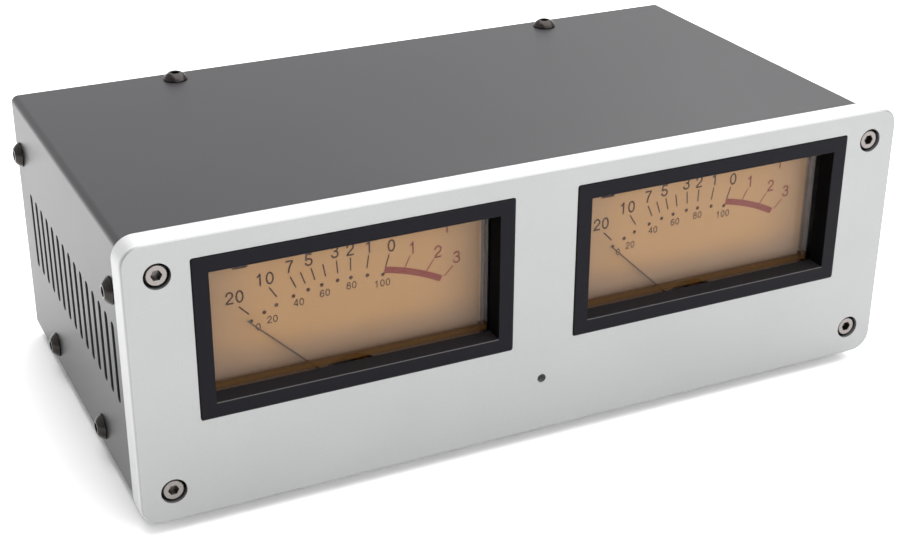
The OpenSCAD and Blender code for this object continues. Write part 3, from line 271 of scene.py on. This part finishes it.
def panel_metal():
    """bead-blasted, clear-anodised aluminium, its top, sides and edges painted brighter as painted
    light
    """
    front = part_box("front_panel")[0].y / MM
    shade = Shade("panel_metal")
    [y] = shade.axes("Y")
    edge_light_mask = shade.clamp((y - front - EDGE_LIGHT_START) * EDGE_LIGHT_SLOPE)
    beads = shade.noise(5.0, 3.0, 0.65)
    cloud = shade.noise(0.05, 3.0, 0.5)
    sparkle = shade.noise(9.0, 1.0, 0.5)
    grain = shade.clamp(beads * 0.7 + cloud * 0.3)
    blasted = shade.mix(grain, (0.27, 0.273, 0.273), (0.35, 0.354, 0.353))
    # painted light: this brighter colour stands in for the light that the top, sides and edges
    # catch
    bright = shade.mix(grain, (0.47, 0.47, 0.475), (0.55, 0.55, 0.555))
    # painted shade: the metal turns near black in counterbores and crevices, round the frames too
    bare = shade.open_air(1.6, gain=1.6, drop=0.25)
    shade.set(
        Base_Color=shade.mix(bare, (0.02, 0.02, 0.025), shade.mix(edge_light_mask, blasted, bright)),
        Metallic=0.75,
        Roughness=shade.clamp(0.44 + sparkle * 0.14),
        Normal=shade.bump(beads, 0.012, shade.rounded(0.1)),
    )
    return shade


def powder_coat():
    """fine satin black powder coat"""
    shade = Shade("powder_coat")
    peel = shade.noise(2.2, 2.0, 0.5)
    fine = shade.noise(7.0, 2.0, 0.6)
    cloud = shade.noise(0.03, 2.0, 0.5)
    grain = shade.clamp(fine * 0.5 + cloud * 0.5)
    shade.set(
        Base_Color=shade.mix(grain, (0.0152, 0.0142, 0.016), (0.0222, 0.021, 0.0236)),
        Specular_IOR_Level=0.31,
        Roughness=shade.clamp(0.25 + fine * 0.07 + cloud * 0.05),
        Normal=shade.bump(peel * 0.6 + fine * 0.4, 0.008, shade.rounded(0.3)),
    )
    return shade


def socket_steel(name, colour, dark, rough):
    """bright metal with painted shade: it turns dark in its socket and round its edge"""
    shade = Shade(name)
    fine = shade.noise(5.0, 3.0, 0.6)
    cloud = shade.noise(0.6, 2.0, 0.5)
    grain = shade.clamp(fine * 0.4 + cloud * 0.6)
    dull = tuple(c * 0.75 for c in colour)
    metal = shade.mix(grain, dull, colour)
    # painted shade: the metal is mixed to the dark colour in its socket and round its edge
    bare = shade.open_air(1.5, gain=1.7, drop=0.45)
    shade.set(
        Base_Color=shade.mix(bare, dark, metal),
        Metallic=1.0,
        Roughness=shade.clamp(rough + fine * 0.12),
        Normal=shade.bump(fine, 0.006, shade.rounded(0.15)),
    )
    return shade


def frame_plastic(node):
    """satin black plastic of the meter frames, matt on the inner walls; painted shade darkens
    the walls, painted light lifts the sill, a painted highlight lines the lower bar's inner edge"""
    low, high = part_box(node)
    shade = Shade(node + "_plastic")
    x, y, z = shade.axes()
    mid = (low.x + high.x) / 2 / MM
    opening = (high.x - low.x) / 2 / MM - FRAME_BAR
    rise = z - low.z / MM
    inner = y.above(low.y / MM + FRAME_FACE)
    sill = inner * rise.below(FRAME_BAR + SLACK)
    # painted highlight: a bright line along the lower bar's inner edge
    painted_lip_highlight = abs(rise - FRAME_BAR + HIGHLIGHT_DROP).below(HIGHLIGHT_HALF) * y.below(low.y / MM + HIGHLIGHT_DEPTH)
    painted_lip_highlight = painted_lip_highlight * abs(x - mid).below(opening)
    fine = shade.noise(6.0, 3.0, 0.6)
    smear = shade.noise(0.2, 3.0, 0.5, stretch=(1.0, 1.0, 0.3))
    satin = shade.mix(fine, (0.0036, 0.0034, 0.005), (0.0068, 0.0064, 0.0092))
    # painted shade: the inner walls, all but the sill, are painted near black
    plastic = shade.mix(shade.clamp(1.0 - inner + sill), (0.0008, 0.0007, 0.0008), satin)
    # painted light: the upward-facing sill is painted lighter, as lit from above
    sill_painted_light = shade.mix(sill * 0.5, plastic, (0.022, 0.019, 0.019))
    shade.set(
        Base_Color=shade.mix(painted_lip_highlight, sill_painted_light, (0.07, 0.065, 0.065)),
        Roughness=shade.clamp(0.36 + smear * 0.12 + inner * 0.5),
        Specular_IOR_Level=0.07,
        Normal=shade.bump(fine, 0.004, shade.rounded(0.22)),
    )
    return shade


def window_plastic(node):
    """clear moulded window: it shines as its angle says, and painted light shows its moulded
    walls as pale edges at the sides and an amber edge at the foot, where the lamps' light gathers"""
    low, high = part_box(node)
    shade = Shade(node + "_clear")
    x, y, z = shade.axes()
    mid = (low.x + high.x) / 2 / MM
    pane_low = low.z / MM + PANE_LIFT
    behind = y.above(low.y / MM + PANE_THICK + SLACK)
    pane = z.above(pane_low - SLACK)
    # painted light: the side walls are painted pale and more opaque, standing in for their lit
    # edges
    side = abs(x - mid).above(PANE_HALF - PANE_WALL - SLACK) * behind * pane
    # painted light: the foot is painted amber, standing in for the lamps' light gathered there
    foot = z.below(pane_low + PANE_FOOT + SLACK / 2) * behind * pane
    slant = Value(shade, shade.node("ShaderNodeLayerWeight", {}, {"Blend": 0.5}).outputs["Facing"])
    shine = slant * slant * slant
    haze = shade.noise(0.15, 3.0, 0.6)
    fade = shade.clamp((z - pane_low - AMBER_START) * AMBER_SLOPE)
    amber = shade.mix(fade, (0.13, 0.062, 0.018), (0.025, 0.017, 0.014))
    alpha = PANE_ALPHA + shine * SHINE_ALPHA + haze * HAZE_ALPHA
    shade.set(
        Base_Color=shade.mix(foot, (0.78, 0.74, 0.72), amber),
        Metallic=shade.clamp(1.0 - side - foot),
        Roughness=shade.clamp(0.05 + haze * 0.05),
        Alpha=shade.clamp(alpha + side * WALL_ALPHA + foot * FOOT_ALPHA),
    )
    return shade


def dial_card(node):
    """warm printed card with a dark border at its sides; painted light makes it brightest a little
    above its middle where the lamps behind it reach and painted shade greys its foot and sides"""
    low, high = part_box(node)
    shade = Shade(node + "_card")
    x, z = shade.axes("XZ")
    mid = (low.x + high.x) / 2 / MM
    out = abs(x - mid) / DIAL_HALF
    rise = z - low.z / MM
    dim = shade.clamp(out * DIM_SLOPE - DIM_DROP)
    glow = shade.clamp((rise - GLOW_START) / GLOW_RISE) * shade.clamp(1.0 - dim * SIDE_DIM)
    fibre = shade.noise(14.0, 3.0, 0.6)
    cloud = shade.noise(0.07, 2.0, 0.5)
    grain = shade.clamp(fibre * 0.5 + cloud * 0.5)
    # painted light and shade: the tint runs from a greyer foot to a brighter middle, dimmer at the
    # sides
    tint = shade.mix(glow, (0.128, 0.084, 0.057), (0.23, 0.128, 0.0535))
    tint = shade.mix(out.above(DIAL_BORDER), tint, (0.05, 0.033, 0.024))
    speck = shade.mix(grain, (0.95, 0.95, 0.95), (1.03, 1.03, 1.03))
    tinted = shade.mix(1.0, tint, speck, "MULTIPLY")
    shade.set(
        Base_Color=tinted,
        Roughness=shade.clamp(0.62 + fibre * 0.1),
        Specular_IOR_Level=0.25,
        Normal=shade.bump(fibre, 0.0003),
        # painted glow: the card gives off light of its own, though it is no lamp
        Emission_Color=tinted,
        Emission_Strength=DIAL_GLOW,
    )
    return shade


def ink(name, colour):
    """thin matt print"""
    return finish(name, colour, 0.6, grain=6.0, tone=0.15, depth=0.003, specular=0.1)


def winding():
    """fine enamelled copper wire, wound side by side"""
    shade = Shade("winding")
    wires = shade.bands(1.2, distortion=0.4, detail=1.0)
    shade.set(
        # painted shade: the colour darkens between the wires, in step with their bumps
        Base_Color=shade.mix(wires, (0.25, 0.08, 0.03), (0.75, 0.33, 0.14)),
        Metallic=0.9,
        Roughness=shade.clamp(0.3 + wires * 0.1),
        Normal=shade.bump(wires, 0.03),
    )
    return shade


def board_green():
    """green solder mask over rows of copper tracks"""
    shade = Shade("board_green")
    tracks = shade.node(
        "ShaderNodeTexBrick",
        {"offset": 0.37, "squash": 1.0},
        {
            "Vector": shade.place,
            "Color1": (1.0, 1.0, 1.0),
            "Color2": (0.75, 0.75, 0.75),
            "Mortar": (0.0, 0.0, 0.0),
            "Scale": 1 / MM,
            "Mortar Size": TRACK_GAP,
            "Brick Width": TRACK_LENGTH,
            "Row Height": TRACK_PITCH,
        },
    )
    copper = Value(shade, tracks.outputs["Fac"])
    fine = shade.noise(4.0, 2.0, 0.5)
    shade.set(
        Base_Color=shade.mix(copper, (0.012, 0.085, 0.04), (0.03, 0.17, 0.07)),
        Roughness=shade.clamp(0.22 + fine * 0.1),
        Coat_Weight=0.3,
        Normal=shade.bump(copper * 0.7 + fine * 0.3, 0.03, shade.rounded(0.15)),
    )
    return shade


def socket_colours():
    """one insert is white and one is red, each with a brass contact in its middle"""
    low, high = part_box("phono_inserts")
    shade = Shade("socket_colours")
    x, z = shade.axes("XZ")
    mid = (low.x + high.x) / 2 / MM
    off_x = abs(abs(x - mid) - PHONO_PITCH / 2)
    off_z = z - (low.z + high.z) / 2 / MM
    contact = (off_x * off_x + off_z * off_z).below(CONTACT_RADIUS * CONTACT_RADIUS)
    fine = shade.noise(4.0, 2.0, 0.5)
    plastic = shade.mix(x.above(mid), (0.82, 0.82, 0.8), (0.55, 0.02, 0.02))
    grained = shade.mix(fine * 0.15, plastic, (0.3, 0.3, 0.3))
    shade.set(
        Base_Color=shade.mix(contact, grained, (0.75, 0.55, 0.25)),
        Metallic=contact,
        Roughness=shade.clamp(0.3 + fine * 0.1),
        Normal=shade.bump(fine, 0.006, shade.rounded(0.15)),
    )
    return shade


def threaded_body(node, neck):
    """blue moulded body with a plated, threaded neck that passes through the rear wall"""
    rear_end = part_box(node)[1].y / MM
    shade = Shade(node + "_body")
    [y] = shade.axes("Y")
    plated = y.above(rear_end - neck - REAR_WALL)
    fine = shade.noise(4.0, 2.0, 0.5)
    thread = shade.bands(WAVE_LENGTH / THREAD_PITCH)
    moulded_blue = shade.mix(fine, (0.02, 0.04, 0.13), (0.03, 0.06, 0.19))
    # painted shade: the thread's grooves are painted darker than its crests
    plating_with_groove_shade = shade.mix(thread, (0.3, 0.285, 0.265), (0.6, 0.57, 0.53))
    shade.set(
        Base_Color=shade.mix(plated, moulded_blue, plating_with_groove_shade),
        Metallic=plated,
        Roughness=shade.clamp(0.4 - plated * 0.12 + fine * 0.1),
        Normal=shade.bump(thread * plated + fine * 0.1, 0.05),
    )
    return shade


def capacitor_sleeve():
    """dark blue sleeve, with bare aluminium on top"""
    shade = Shade("capacitor_sleeve")
    fine = shade.noise(4.0, 2.0, 0.5)
    [lift] = shade.apart(shade.node("ShaderNodeNewGeometry").outputs["Normal"], "Z")
    top = lift.above(FACING_UP)
    sleeve = shade.mix(fine, (0.012, 0.016, 0.06), (0.025, 0.03, 0.09))
    shade.set(
        Base_Color=shade.mix(top, sleeve, (0.7, 0.7, 0.7)),
        Metallic=top,
        Roughness=shade.clamp(0.28 + fine * 0.12),
        Normal=shade.bump(fine, 0.008, shade.rounded(0.3)),
    )
    return shade


ALONG_Y = (1.0, 0.1, 1.0)  # draws a grain out along y

zinc = finish("zinc", (0.62, 0.63, 0.65), 0.3, 1.0, grain=4.0, spread=0.2, depth=0.006, edge=0.12)
nickel = socket_steel("nickel", (0.25, 0.228, 0.218), (0.012, 0.011, 0.01), 0.22)
dark_nickel = socket_steel("dark_nickel", (0.04, 0.036, 0.034), (0.004, 0.004, 0.004), 0.2)
chrome = finish("chrome", (0.8, 0.8, 0.8), 0.1, 1.0, grain=6.0, tone=0.05, spread=0.06,
                depth=0.002, edge=0.15)
brass = finish("brass", (0.72, 0.52, 0.24), 0.28, 1.0, grain=4.0, spread=0.15, depth=0.005,
               edge=0.1)
bronze = finish("bronze", (0.6, 0.42, 0.22), 0.25, 1.0, grain=8.0, tone=0.1, depth=0.002)
magnet = finish("magnet", (0.34, 0.35, 0.37), 0.42, 0.9, grain=5.0, tone=0.15, edge=0.12,
                stretch=ALONG_Y)
tin = finish("tin", (0.7, 0.7, 0.68), 0.35, 1.0, spread=0.2)
capsule = finish("capsule", (0.62, 0.63, 0.65), 0.32, 1.0, grain=4.0, tone=0.1, depth=0.004,
                 edge=0.3, stretch=ALONG_Y)
moulded = finish("moulded", (0.02, 0.02, 0.022), 0.5, tone=0.2, edge=0.15)
gloss_black = finish("gloss_black", (0.014, 0.014, 0.015), 0.25, tone=0.2, depth=0.006, edge=0.15)
chip_black = finish("chip_black", (0.02, 0.02, 0.021), 0.55, grain=5.0, tone=0.3, depth=0.012,
                    edge=0.1)
blue = finish("blue", (0.03, 0.09, 0.32), 0.4, grain=4.0, tone=0.15, depth=0.008, edge=0.15)
resistor = finish("resistor", (0.6, 0.45, 0.24), 0.45, tone=0.15)
white_mask = finish("white_mask", (0.8, 0.8, 0.78), 0.35, tone=0.06, depth=0.006, edge=0.1)
lamp = finish("lamp", (0.9, 0.72, 0.3), 0.3, tone=0.1)
red_wire = finish("red_wire", (0.45, 0.025, 0.02), 0.42, tone=0.15)
white_wire = finish("white_wire", (0.75, 0.75, 0.72), 0.42, tone=0.08)
rubber = finish("rubber", (0.018, 0.018, 0.018), 0.75, grain=2.5, tone=0.25, depth=0.03, edge=0.3)
knob = finish("knob", (0.018, 0.018, 0.019), 0.36, grain=5.0, tone=0.2, depth=0.006, edge=0.15)
pointer_paint = finish("pointer_paint", (0.055, 0.032, 0.02), 0.6, grain=6.0, tone=0.2,
                       depth=0.003, specular=0.2)
black_ink = ink("black_ink", (0.035, 0.015, 0.007))
red_ink = ink("red_ink", (0.13, 0.028, 0.021))
case_coat = powder_coat()
coil_wire = winding()

look = {
    "front_panel": panel_metal(),
    "panel_screws": nickel,
    "cover": case_coat,
    "cover_screws": dark_nickel,
    "chassis": case_coat,
    "clinch_nuts": zinc,
    "feet": rubber,
    "foot_screws": zinc,
    "magnet_cores": magnet,
    "core_holders": brass,
    "yokes": magnet,
    "pivot_bridges": brass,
    "jewel_screws": brass,
    "hairsprings": bronze,
    "movement_screws": nickel,
    "terminal_studs": brass,
    "terminal_nuts": brass,
    "solder_lugs": tin,
    "lamp_boards": white_mask,
    "lamps": lamp,
    "meter_clips": zinc,
    "clip_screws": zinc,
    "microphone": capsule,
    "microphone_grommet": rubber,
    "microphone_leads": white_wire,
    "driver_board": board_green(),
    "board_standoffs": brass,
    "board_screws": zinc,
    "capacitors": capacitor_sleeve(),
    "amplifier_chips": chip_black,
    "voltage_regulator": chip_black,
    "trimmers": blue,
    "resistors": resistor,
    "phono_housing": gloss_black,
    "phono_sleeves": chrome,
    "phono_inserts": socket_colours(),
    "power_socket": gloss_black,
    "power_switch": threaded_body("power_switch", SWITCH_NECK),
    "power_lever": chrome,
    "input_switch": threaded_body("input_switch", SWITCH_NECK),
    "input_lever": chrome,
    "rear_nuts": nickel,
    "level_control": threaded_body("level_control", LEVEL_NECK),
    "level_shaft": nickel,
    "level_knob": knob,
}
for side in SIDES:
    look[f"bezel_{side}"] = frame_plastic(f"bezel_{side}")
    look[f"window_{side}"] = window_plastic(f"window_{side}")
    look[f"dial_{side}"] = dial_card(f"dial_{side}")
    look[f"meter_case_{side}"] = moulded
    look[f"pointer_{side}"] = pointer_paint
    look[f"coil_{side}"] = coil_wire
    look[f"meter_leads_{side}"] = red_wire

for name, node in nodes.items():
    node.data.materials.clear()
    node.data.materials.append(look[name].material)
    node.data.shade_smooth()
    node.data.set_sharp_from_angle(angle=math.radians(SHARP_ANGLE))


# ---------------------------------------------------------------- printing on the dials

# places are millimetres across from the dial's middle and above the panel's lower edge,
# angles are degrees from upright, seen from the axis
PIVOT = (0.6, 16.05)  # the pointer's axis
PIVOT_BELOW_DIAL = 5.8  # the axis lies this far below the dial plate's lower edge
RING = (0.2, -1.29)  # middle of the scale's circles, which the radii start from
TICK_RADII = (44.63, 47.48)
DOT_RING = 43.05  # radius of the circle that the dots lie on
BAND_RADII = (43.3, 44.75)
BAND_STEPS = 28
BLACK_TICKS = (-43.9, -31.9, -23.5, -19.4, -15.1, -10.3, -4.8, 1.0, 8.5, 17.1)
RED_TICKS = (26.0, 36.0, 44.5)
DOTS = (-45.6, -39.6, -34.1, -26.2, -19.3, -12.9, -5.3, 1.2, 9.2, 16.8)
BLACK_TICK_WIDTH = 0.3
RED_TICK_WIDTH = 0.26
DOT_RADIUS = 0.42
DOT_CORNERS = 20
BLACK_NUMBERS = (
    ("20", -23.5, 42.5), ("10", -17.1, 45.2), ("7", -11.9, 46.8), ("5", -7.8, 47.5),
    ("3", -2.2, 48.1), ("2", 1.1, 48.0), ("1", 5.2, 47.8), ("0", 10.1, 47.1),
)
RED_NUMBERS = (("1", 14.8, 45.7), ("2", 20.5, 43.7), ("3", 24.8, 41.6))
SMALL_NUMBERS = (
    ("0", -18.9, 35.0), ("20", -15.9, 36.1), ("40", -10.2, 38.6),
    ("60", -4.6, 39.5), ("80", 1.2, 40.0), ("100", 8.0, 39.1),
)
NUMBER_HEIGHT = 2.75
SMALL_HEIGHT = 1.62
MINUS_SIGN = ((-23.7, 48.85), (-20.5, 48.85))
MINUS_WIDTH = 0.8
PLUS_SIGN = (((22.6, 47.5), (22.6, 50.7)), ((21.0, 49.1), (24.2, 49.1)))
PLUS_WIDTH = 0.35
PRINT_LIFT = 0.03  # the print lies this far in front of the dial


def add_object(name, data):
    """a new object in the scene that shows data"""
    made = bpy.data.objects.new(name, data)
    bpy.context.scene.collection.objects.link(made)
    return made


def from_pivot(angle, radius):
    """the point where the ray at angle from the axis crosses the scale's circle of radius"""
    pivot = Vector(PIVOT)
    way = Vector((math.sin(math.radians(angle)), math.cos(math.radians(angle))))
    start = pivot - Vector(RING)
    along = start.dot(way)
    reach = -along + math.sqrt(along * along - start.length_squared + radius * radius)
    return pivot + way * reach


def face(sheet, points):
    """a flat face through points of (across, up), facing the viewer"""
    corners = [sheet.verts.new((p[0], 0.0, p[1])) for p in points]
    made = sheet.faces.new(corners)
    made.normal_update()
    if made.normal.y > 0:
        made.normal_flip()


def stroke(sheet, start, end, width):
    """a straight bar of even width"""
    start, end = Vector(start), Vector(end)
    aside = (end - start).normalized().orthogonal() * width / 2
    face(sheet, [start - aside, end - aside, end + aside, start + aside])


def dot(sheet, middle):
    """a round dot of the lower scale"""
    turns = [2 * math.pi * k / DOT_CORNERS for k in range(DOT_CORNERS)]
    rim = [(DOT_RADIUS * math.cos(t), DOT_RADIUS * math.sin(t)) for t in turns]
    face(sheet, [(middle[0] + across, middle[1] + up) for across, up in rim])


def bend(x, z, half_w, half_h, start, end, count=14):
    """points along part of an ellipse, its angles in degrees from the right"""
    turns = [math.radians(start + (end - start) * k / count) for k in range(count + 1)]
    return [(x + half_w * math.cos(t), z + half_h * math.sin(t)) for t in turns]


# each digit as pen lines in a box one high, its lines running through the pen's middle
DIGIT_LINES = {
    "0": [bend(0.32, 0.5, 0.245, 0.437, 0, 360, 28)],
    "1": [[(0.09, 0.74), (0.2, 0.765), (0.29, 0.84), (0.335, 0.97)], [(0.345, 0.0), (0.345, 1.0)]],
    "2": [bend(0.325, 0.69, 0.235, 0.247, 190, -38) + [(0.29, 0.34), (0.13, 0.18), (0.085, 0.063)],
          [(0.022, 0.063), (0.61, 0.063)]],
    "3": [bend(0.31, 0.747, 0.215, 0.19, 175, -90), bend(0.31, 0.31, 0.245, 0.247, 90, -178),
          [(0.23, 0.557), (0.33, 0.557)]],
    "4": [[(0.475, 0.0), (0.475, 0.99)], [(0.455, 0.93), (0.07, 0.33)],
          [(0.02, 0.29), (0.63, 0.29)]],
    "5": [[(0.58, 0.937), (0.16, 0.937), (0.095, 0.49)], bend(0.315, 0.32, 0.25, 0.257, 142, -175)],
    "6": [bend(0.335, 0.315, 0.235, 0.252, 0, 360, 28), bend(0.36, 0.47, 0.265, 0.467, 35, 190)],
    "7": [[(0.03, 0.937), (0.6, 0.937)], [(0.575, 0.9), (0.4, 0.64), (0.29, 0.36), (0.24, 0.0)]],
    "8": [bend(0.32, 0.745, 0.21, 0.192, 0, 360, 24), bend(0.32, 0.31, 0.245, 0.247, 0, 360, 28)],
}
# these are shares of a digit's height
DIGIT_WIDTH = 0.64
DIGIT_PITCH = 0.76
PEN = 0.14

SAME_POINT = 1e-4  # a line whose ends are nearer than this is closed
MITRE_LIMIT = 0.5  # a mitred corner reaches no further than the pen's width


def pen_line(sheet, points, width):
    """a band of even width along points, with mitred corners"""
    closed = (points[0] - points[-1]).length < SAME_POINT
    if closed:
        points = points[:-1]
    last = len(points) - 1
    sides = []
    for k, point in enumerate(points):
        before = points[k - 1] if k or closed else point
        after = points[(k + 1) % len(points)] if k < last or closed else point
        into = (point - before).normalized() if k or closed else (after - point).normalized()
        away = (after - point).normalized() if k < last or closed else into
        across = (into + away).normalized().orthogonal()
        across *= width / 2 / max(MITRE_LIMIT, across.dot(away.orthogonal()))
        sides.append((point - across, point + across))
    for k in range(len(points) if closed else last):
        first, second = sides[k], sides[(k + 1) % len(points)]
        face(sheet, [first[0], second[0], second[1], first[1]])


def number(sheet, digits, x, z, height):
    """plain digits, height high, round (x, z)"""
    start = x - height * (DIGIT_PITCH * (len(digits) - 1) + DIGIT_WIDTH) / 2
    for k, digit in enumerate(digits):
        corner = Vector((start + k * DIGIT_PITCH * height, z - height / 2))
        for line in DIGIT_LINES[digit]:
            pen_line(sheet, [corner + Vector(p) * height for p in line], PEN * height)


def print_piece(sheet, name, dial, shade):
    """turns a sheet in panel millimetres into a piece just in front of a dial"""
    low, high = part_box(dial)
    middle = (low.x + high.x) / 2
    base = low.z - (PIVOT_BELOW_DIAL + PIVOT[1]) * MM
    mesh = bpy.data.meshes.new(name)
    sheet.to_mesh(mesh)
    sheet.free()
    mesh.transform(Matrix.Scale(MM, 4))
    mesh.transform(Matrix.Translation((middle, low.y - PRINT_LIFT * MM, base)))
    mesh.materials.append(shade.material)
    piece = add_object(name, mesh)
    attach(piece, HOUSING)


def black_print():
    """the ticks and numbers up to nought, the dots of the lower scale and the minus sign"""
    sheet = bmesh.new()
    for angle in BLACK_TICKS:
        start, end = [from_pivot(angle, radius) for radius in TICK_RADII]
        stroke(sheet, start, end, BLACK_TICK_WIDTH)
    for angle in DOTS:
        dot(sheet, from_pivot(angle, DOT_RING))
    for digits, x, z in BLACK_NUMBERS:
        number(sheet, digits, x, z, NUMBER_HEIGHT)
    for digits, x, z in SMALL_NUMBERS:
        number(sheet, digits, x, z, SMALL_HEIGHT)
    stroke(sheet, *MINUS_SIGN, MINUS_WIDTH)
    return sheet


def red_print():
    """the band past nought with its ticks and numbers, and the plus sign"""
    sheet = bmesh.new()
    ends = [from_pivot(angle, BAND_RADII[0]) for angle in (BLACK_TICKS[-1], RED_TICKS[-1])]
    first, last = [math.atan2(p[0] - RING[0], p[1] - RING[1]) for p in ends]
    for k in range(BAND_STEPS):
        turns = [first + (last - first) * j / BAND_STEPS for j in (k, k + 1)]
        near, far = [
            [(RING[0] + r * math.sin(t), RING[1] + r * math.cos(t)) for r in BAND_RADII]
            for t in turns
        ]
        face(sheet, [near[0], far[0], far[1], near[1]])
    for angle in RED_TICKS:
        start, end = [from_pivot(angle, radius) for radius in (BAND_RADII[1], TICK_RADII[1])]
        stroke(sheet, start, end, RED_TICK_WIDTH)
    for digits, x, z in RED_NUMBERS:
        number(sheet, digits, x, z, NUMBER_HEIGHT)
    for start, end in PLUS_SIGN:
        stroke(sheet, start, end, PLUS_WIDTH)
    return sheet


for side in SIDES:
    print_piece(black_print(), f"print_black_{side}", f"dial_{side}", black_ink)
    print_piece(red_print(), f"print_red_{side}", f"dial_{side}", red_ink)


# ---------------------------------------------------------------- studio and camera

FLOOR_HALF = 6.0

# the sky's brightness: it rises from front to back, and some more comes from the left
FRONT_LIGHT = 0.27
BACK_LIGHT = 0.9
LEFT_LIGHT = 0.2
RISE_START = 0.8  # this far towards the front
RISE_SPAN = 1.2

# lights: place, the point that they face, size in metres, power in watts
OVERHEAD = ((0.35, 0.12, 1.1), (0.0, 0.05, 0.03), (1.9, 1.7), 37.0)
FRONT_FILL = ((0.3, -1.25, 0.6), (0.0, 0.0, 0.03), (1.5, 0.8), 16.0)

# the camera, as solved from the photograph, with its place in millimetres
LENS_MM = 66.27
SENSOR_MM = 36.0
CAMERA_PLACE = (-152.333, -328.38, 190.21)
CAMERA_RIGHT = (0.90202, -0.43168, 0.00373)
CAMERA_AHEAD = (0.39012, 0.81141, -0.43523)
CLIP_NEAR = 0.01
CLIP_FAR = 30.0


def lay_floor():
    """a wide sheet of pale paper"""
    corners = [(-1, -1), (1, -1), (1, 1), (-1, 1)]
    mesh = bpy.data.meshes.new("floor")
    mesh.from_pydata([(FLOOR_HALF * x, FLOOR_HALF * y, 0) for x, y in corners], [], [(0, 1, 2, 3)])
    shade = Shade("floor_paper")
    cloud = shade.noise(0.004, 2.0, 0.5)
    shade.set(
        Base_Color=shade.mix(cloud, (0.9, 0.9, 0.9), (0.94, 0.94, 0.94)),
        Roughness=0.8,
        Specular_IOR_Level=0.1,
    )
    mesh.materials.append(shade.material)
    made = add_object("floor", mesh)


def light_sky():
    """a white sky, dim in front of the meter, bright behind it and brighter on its left"""
    world = bpy.data.worlds.new("studio")
    bpy.context.scene.world = world
    world.use_nodes = True
    sky = Nodes(world.node_tree)
    to_right, to_back = sky.apart(sky.node("ShaderNodeTexCoord").outputs["Generated"], "XY")
    from_front = sky.clamp((to_back + RISE_START) / RISE_SPAN)
    from_left = sky.clamp(0.0 - to_right)
    strength = FRONT_LIGHT + from_front * (BACK_LIGHT - FRONT_LIGHT) + from_left * LEFT_LIGHT
    background = sky.tree.nodes["Background"]
    sky.feed(background.inputs["Color"], (1.0, 1.0, 1.0))
    sky.feed(background.inputs["Strength"], strength)


def area_light(name, place, target, size, power):
    """a rectangular light at place that faces target"""
    light = bpy.data.lights.new(name, "AREA")
    light.shape = "RECTANGLE"
    light.size, light.size_y = size
    light.energy = power
    made = add_object(name, light)
    made.location = place
    made.rotation_euler = (Vector(target) - Vector(place)).to_track_quat("-Z", "Y").to_euler()


def set_camera():
    """the camera at the photograph's place and angle"""
    data = bpy.data.cameras.new("camera")
    data.sensor_fit = "HORIZONTAL"
    data.sensor_width = SENSOR_MM
    data.lens = LENS_MM
    data.clip_start = CLIP_NEAR
    data.clip_end = CLIP_FAR
    camera = add_object("camera", data)
    right = Vector(CAMERA_RIGHT).normalized()
    ahead = Vector(CAMERA_AHEAD).normalized()
    up = right.cross(ahead).normalized()
    right = ahead.cross(up).normalized()
    turn = Matrix((right, up, -ahead)).transposed().to_4x4()
    camera.matrix_world = Matrix.Translation(Vector(CAMERA_PLACE) * MM) @ turn
    bpy.context.scene.camera = camera


lay_floor()
light_sky()
area_light("overhead", *OVERHEAD)
area_light("front_fill", *FRONT_FILL)
set_camera()
bpy.context.scene.view_settings.view_transform = "Standard"
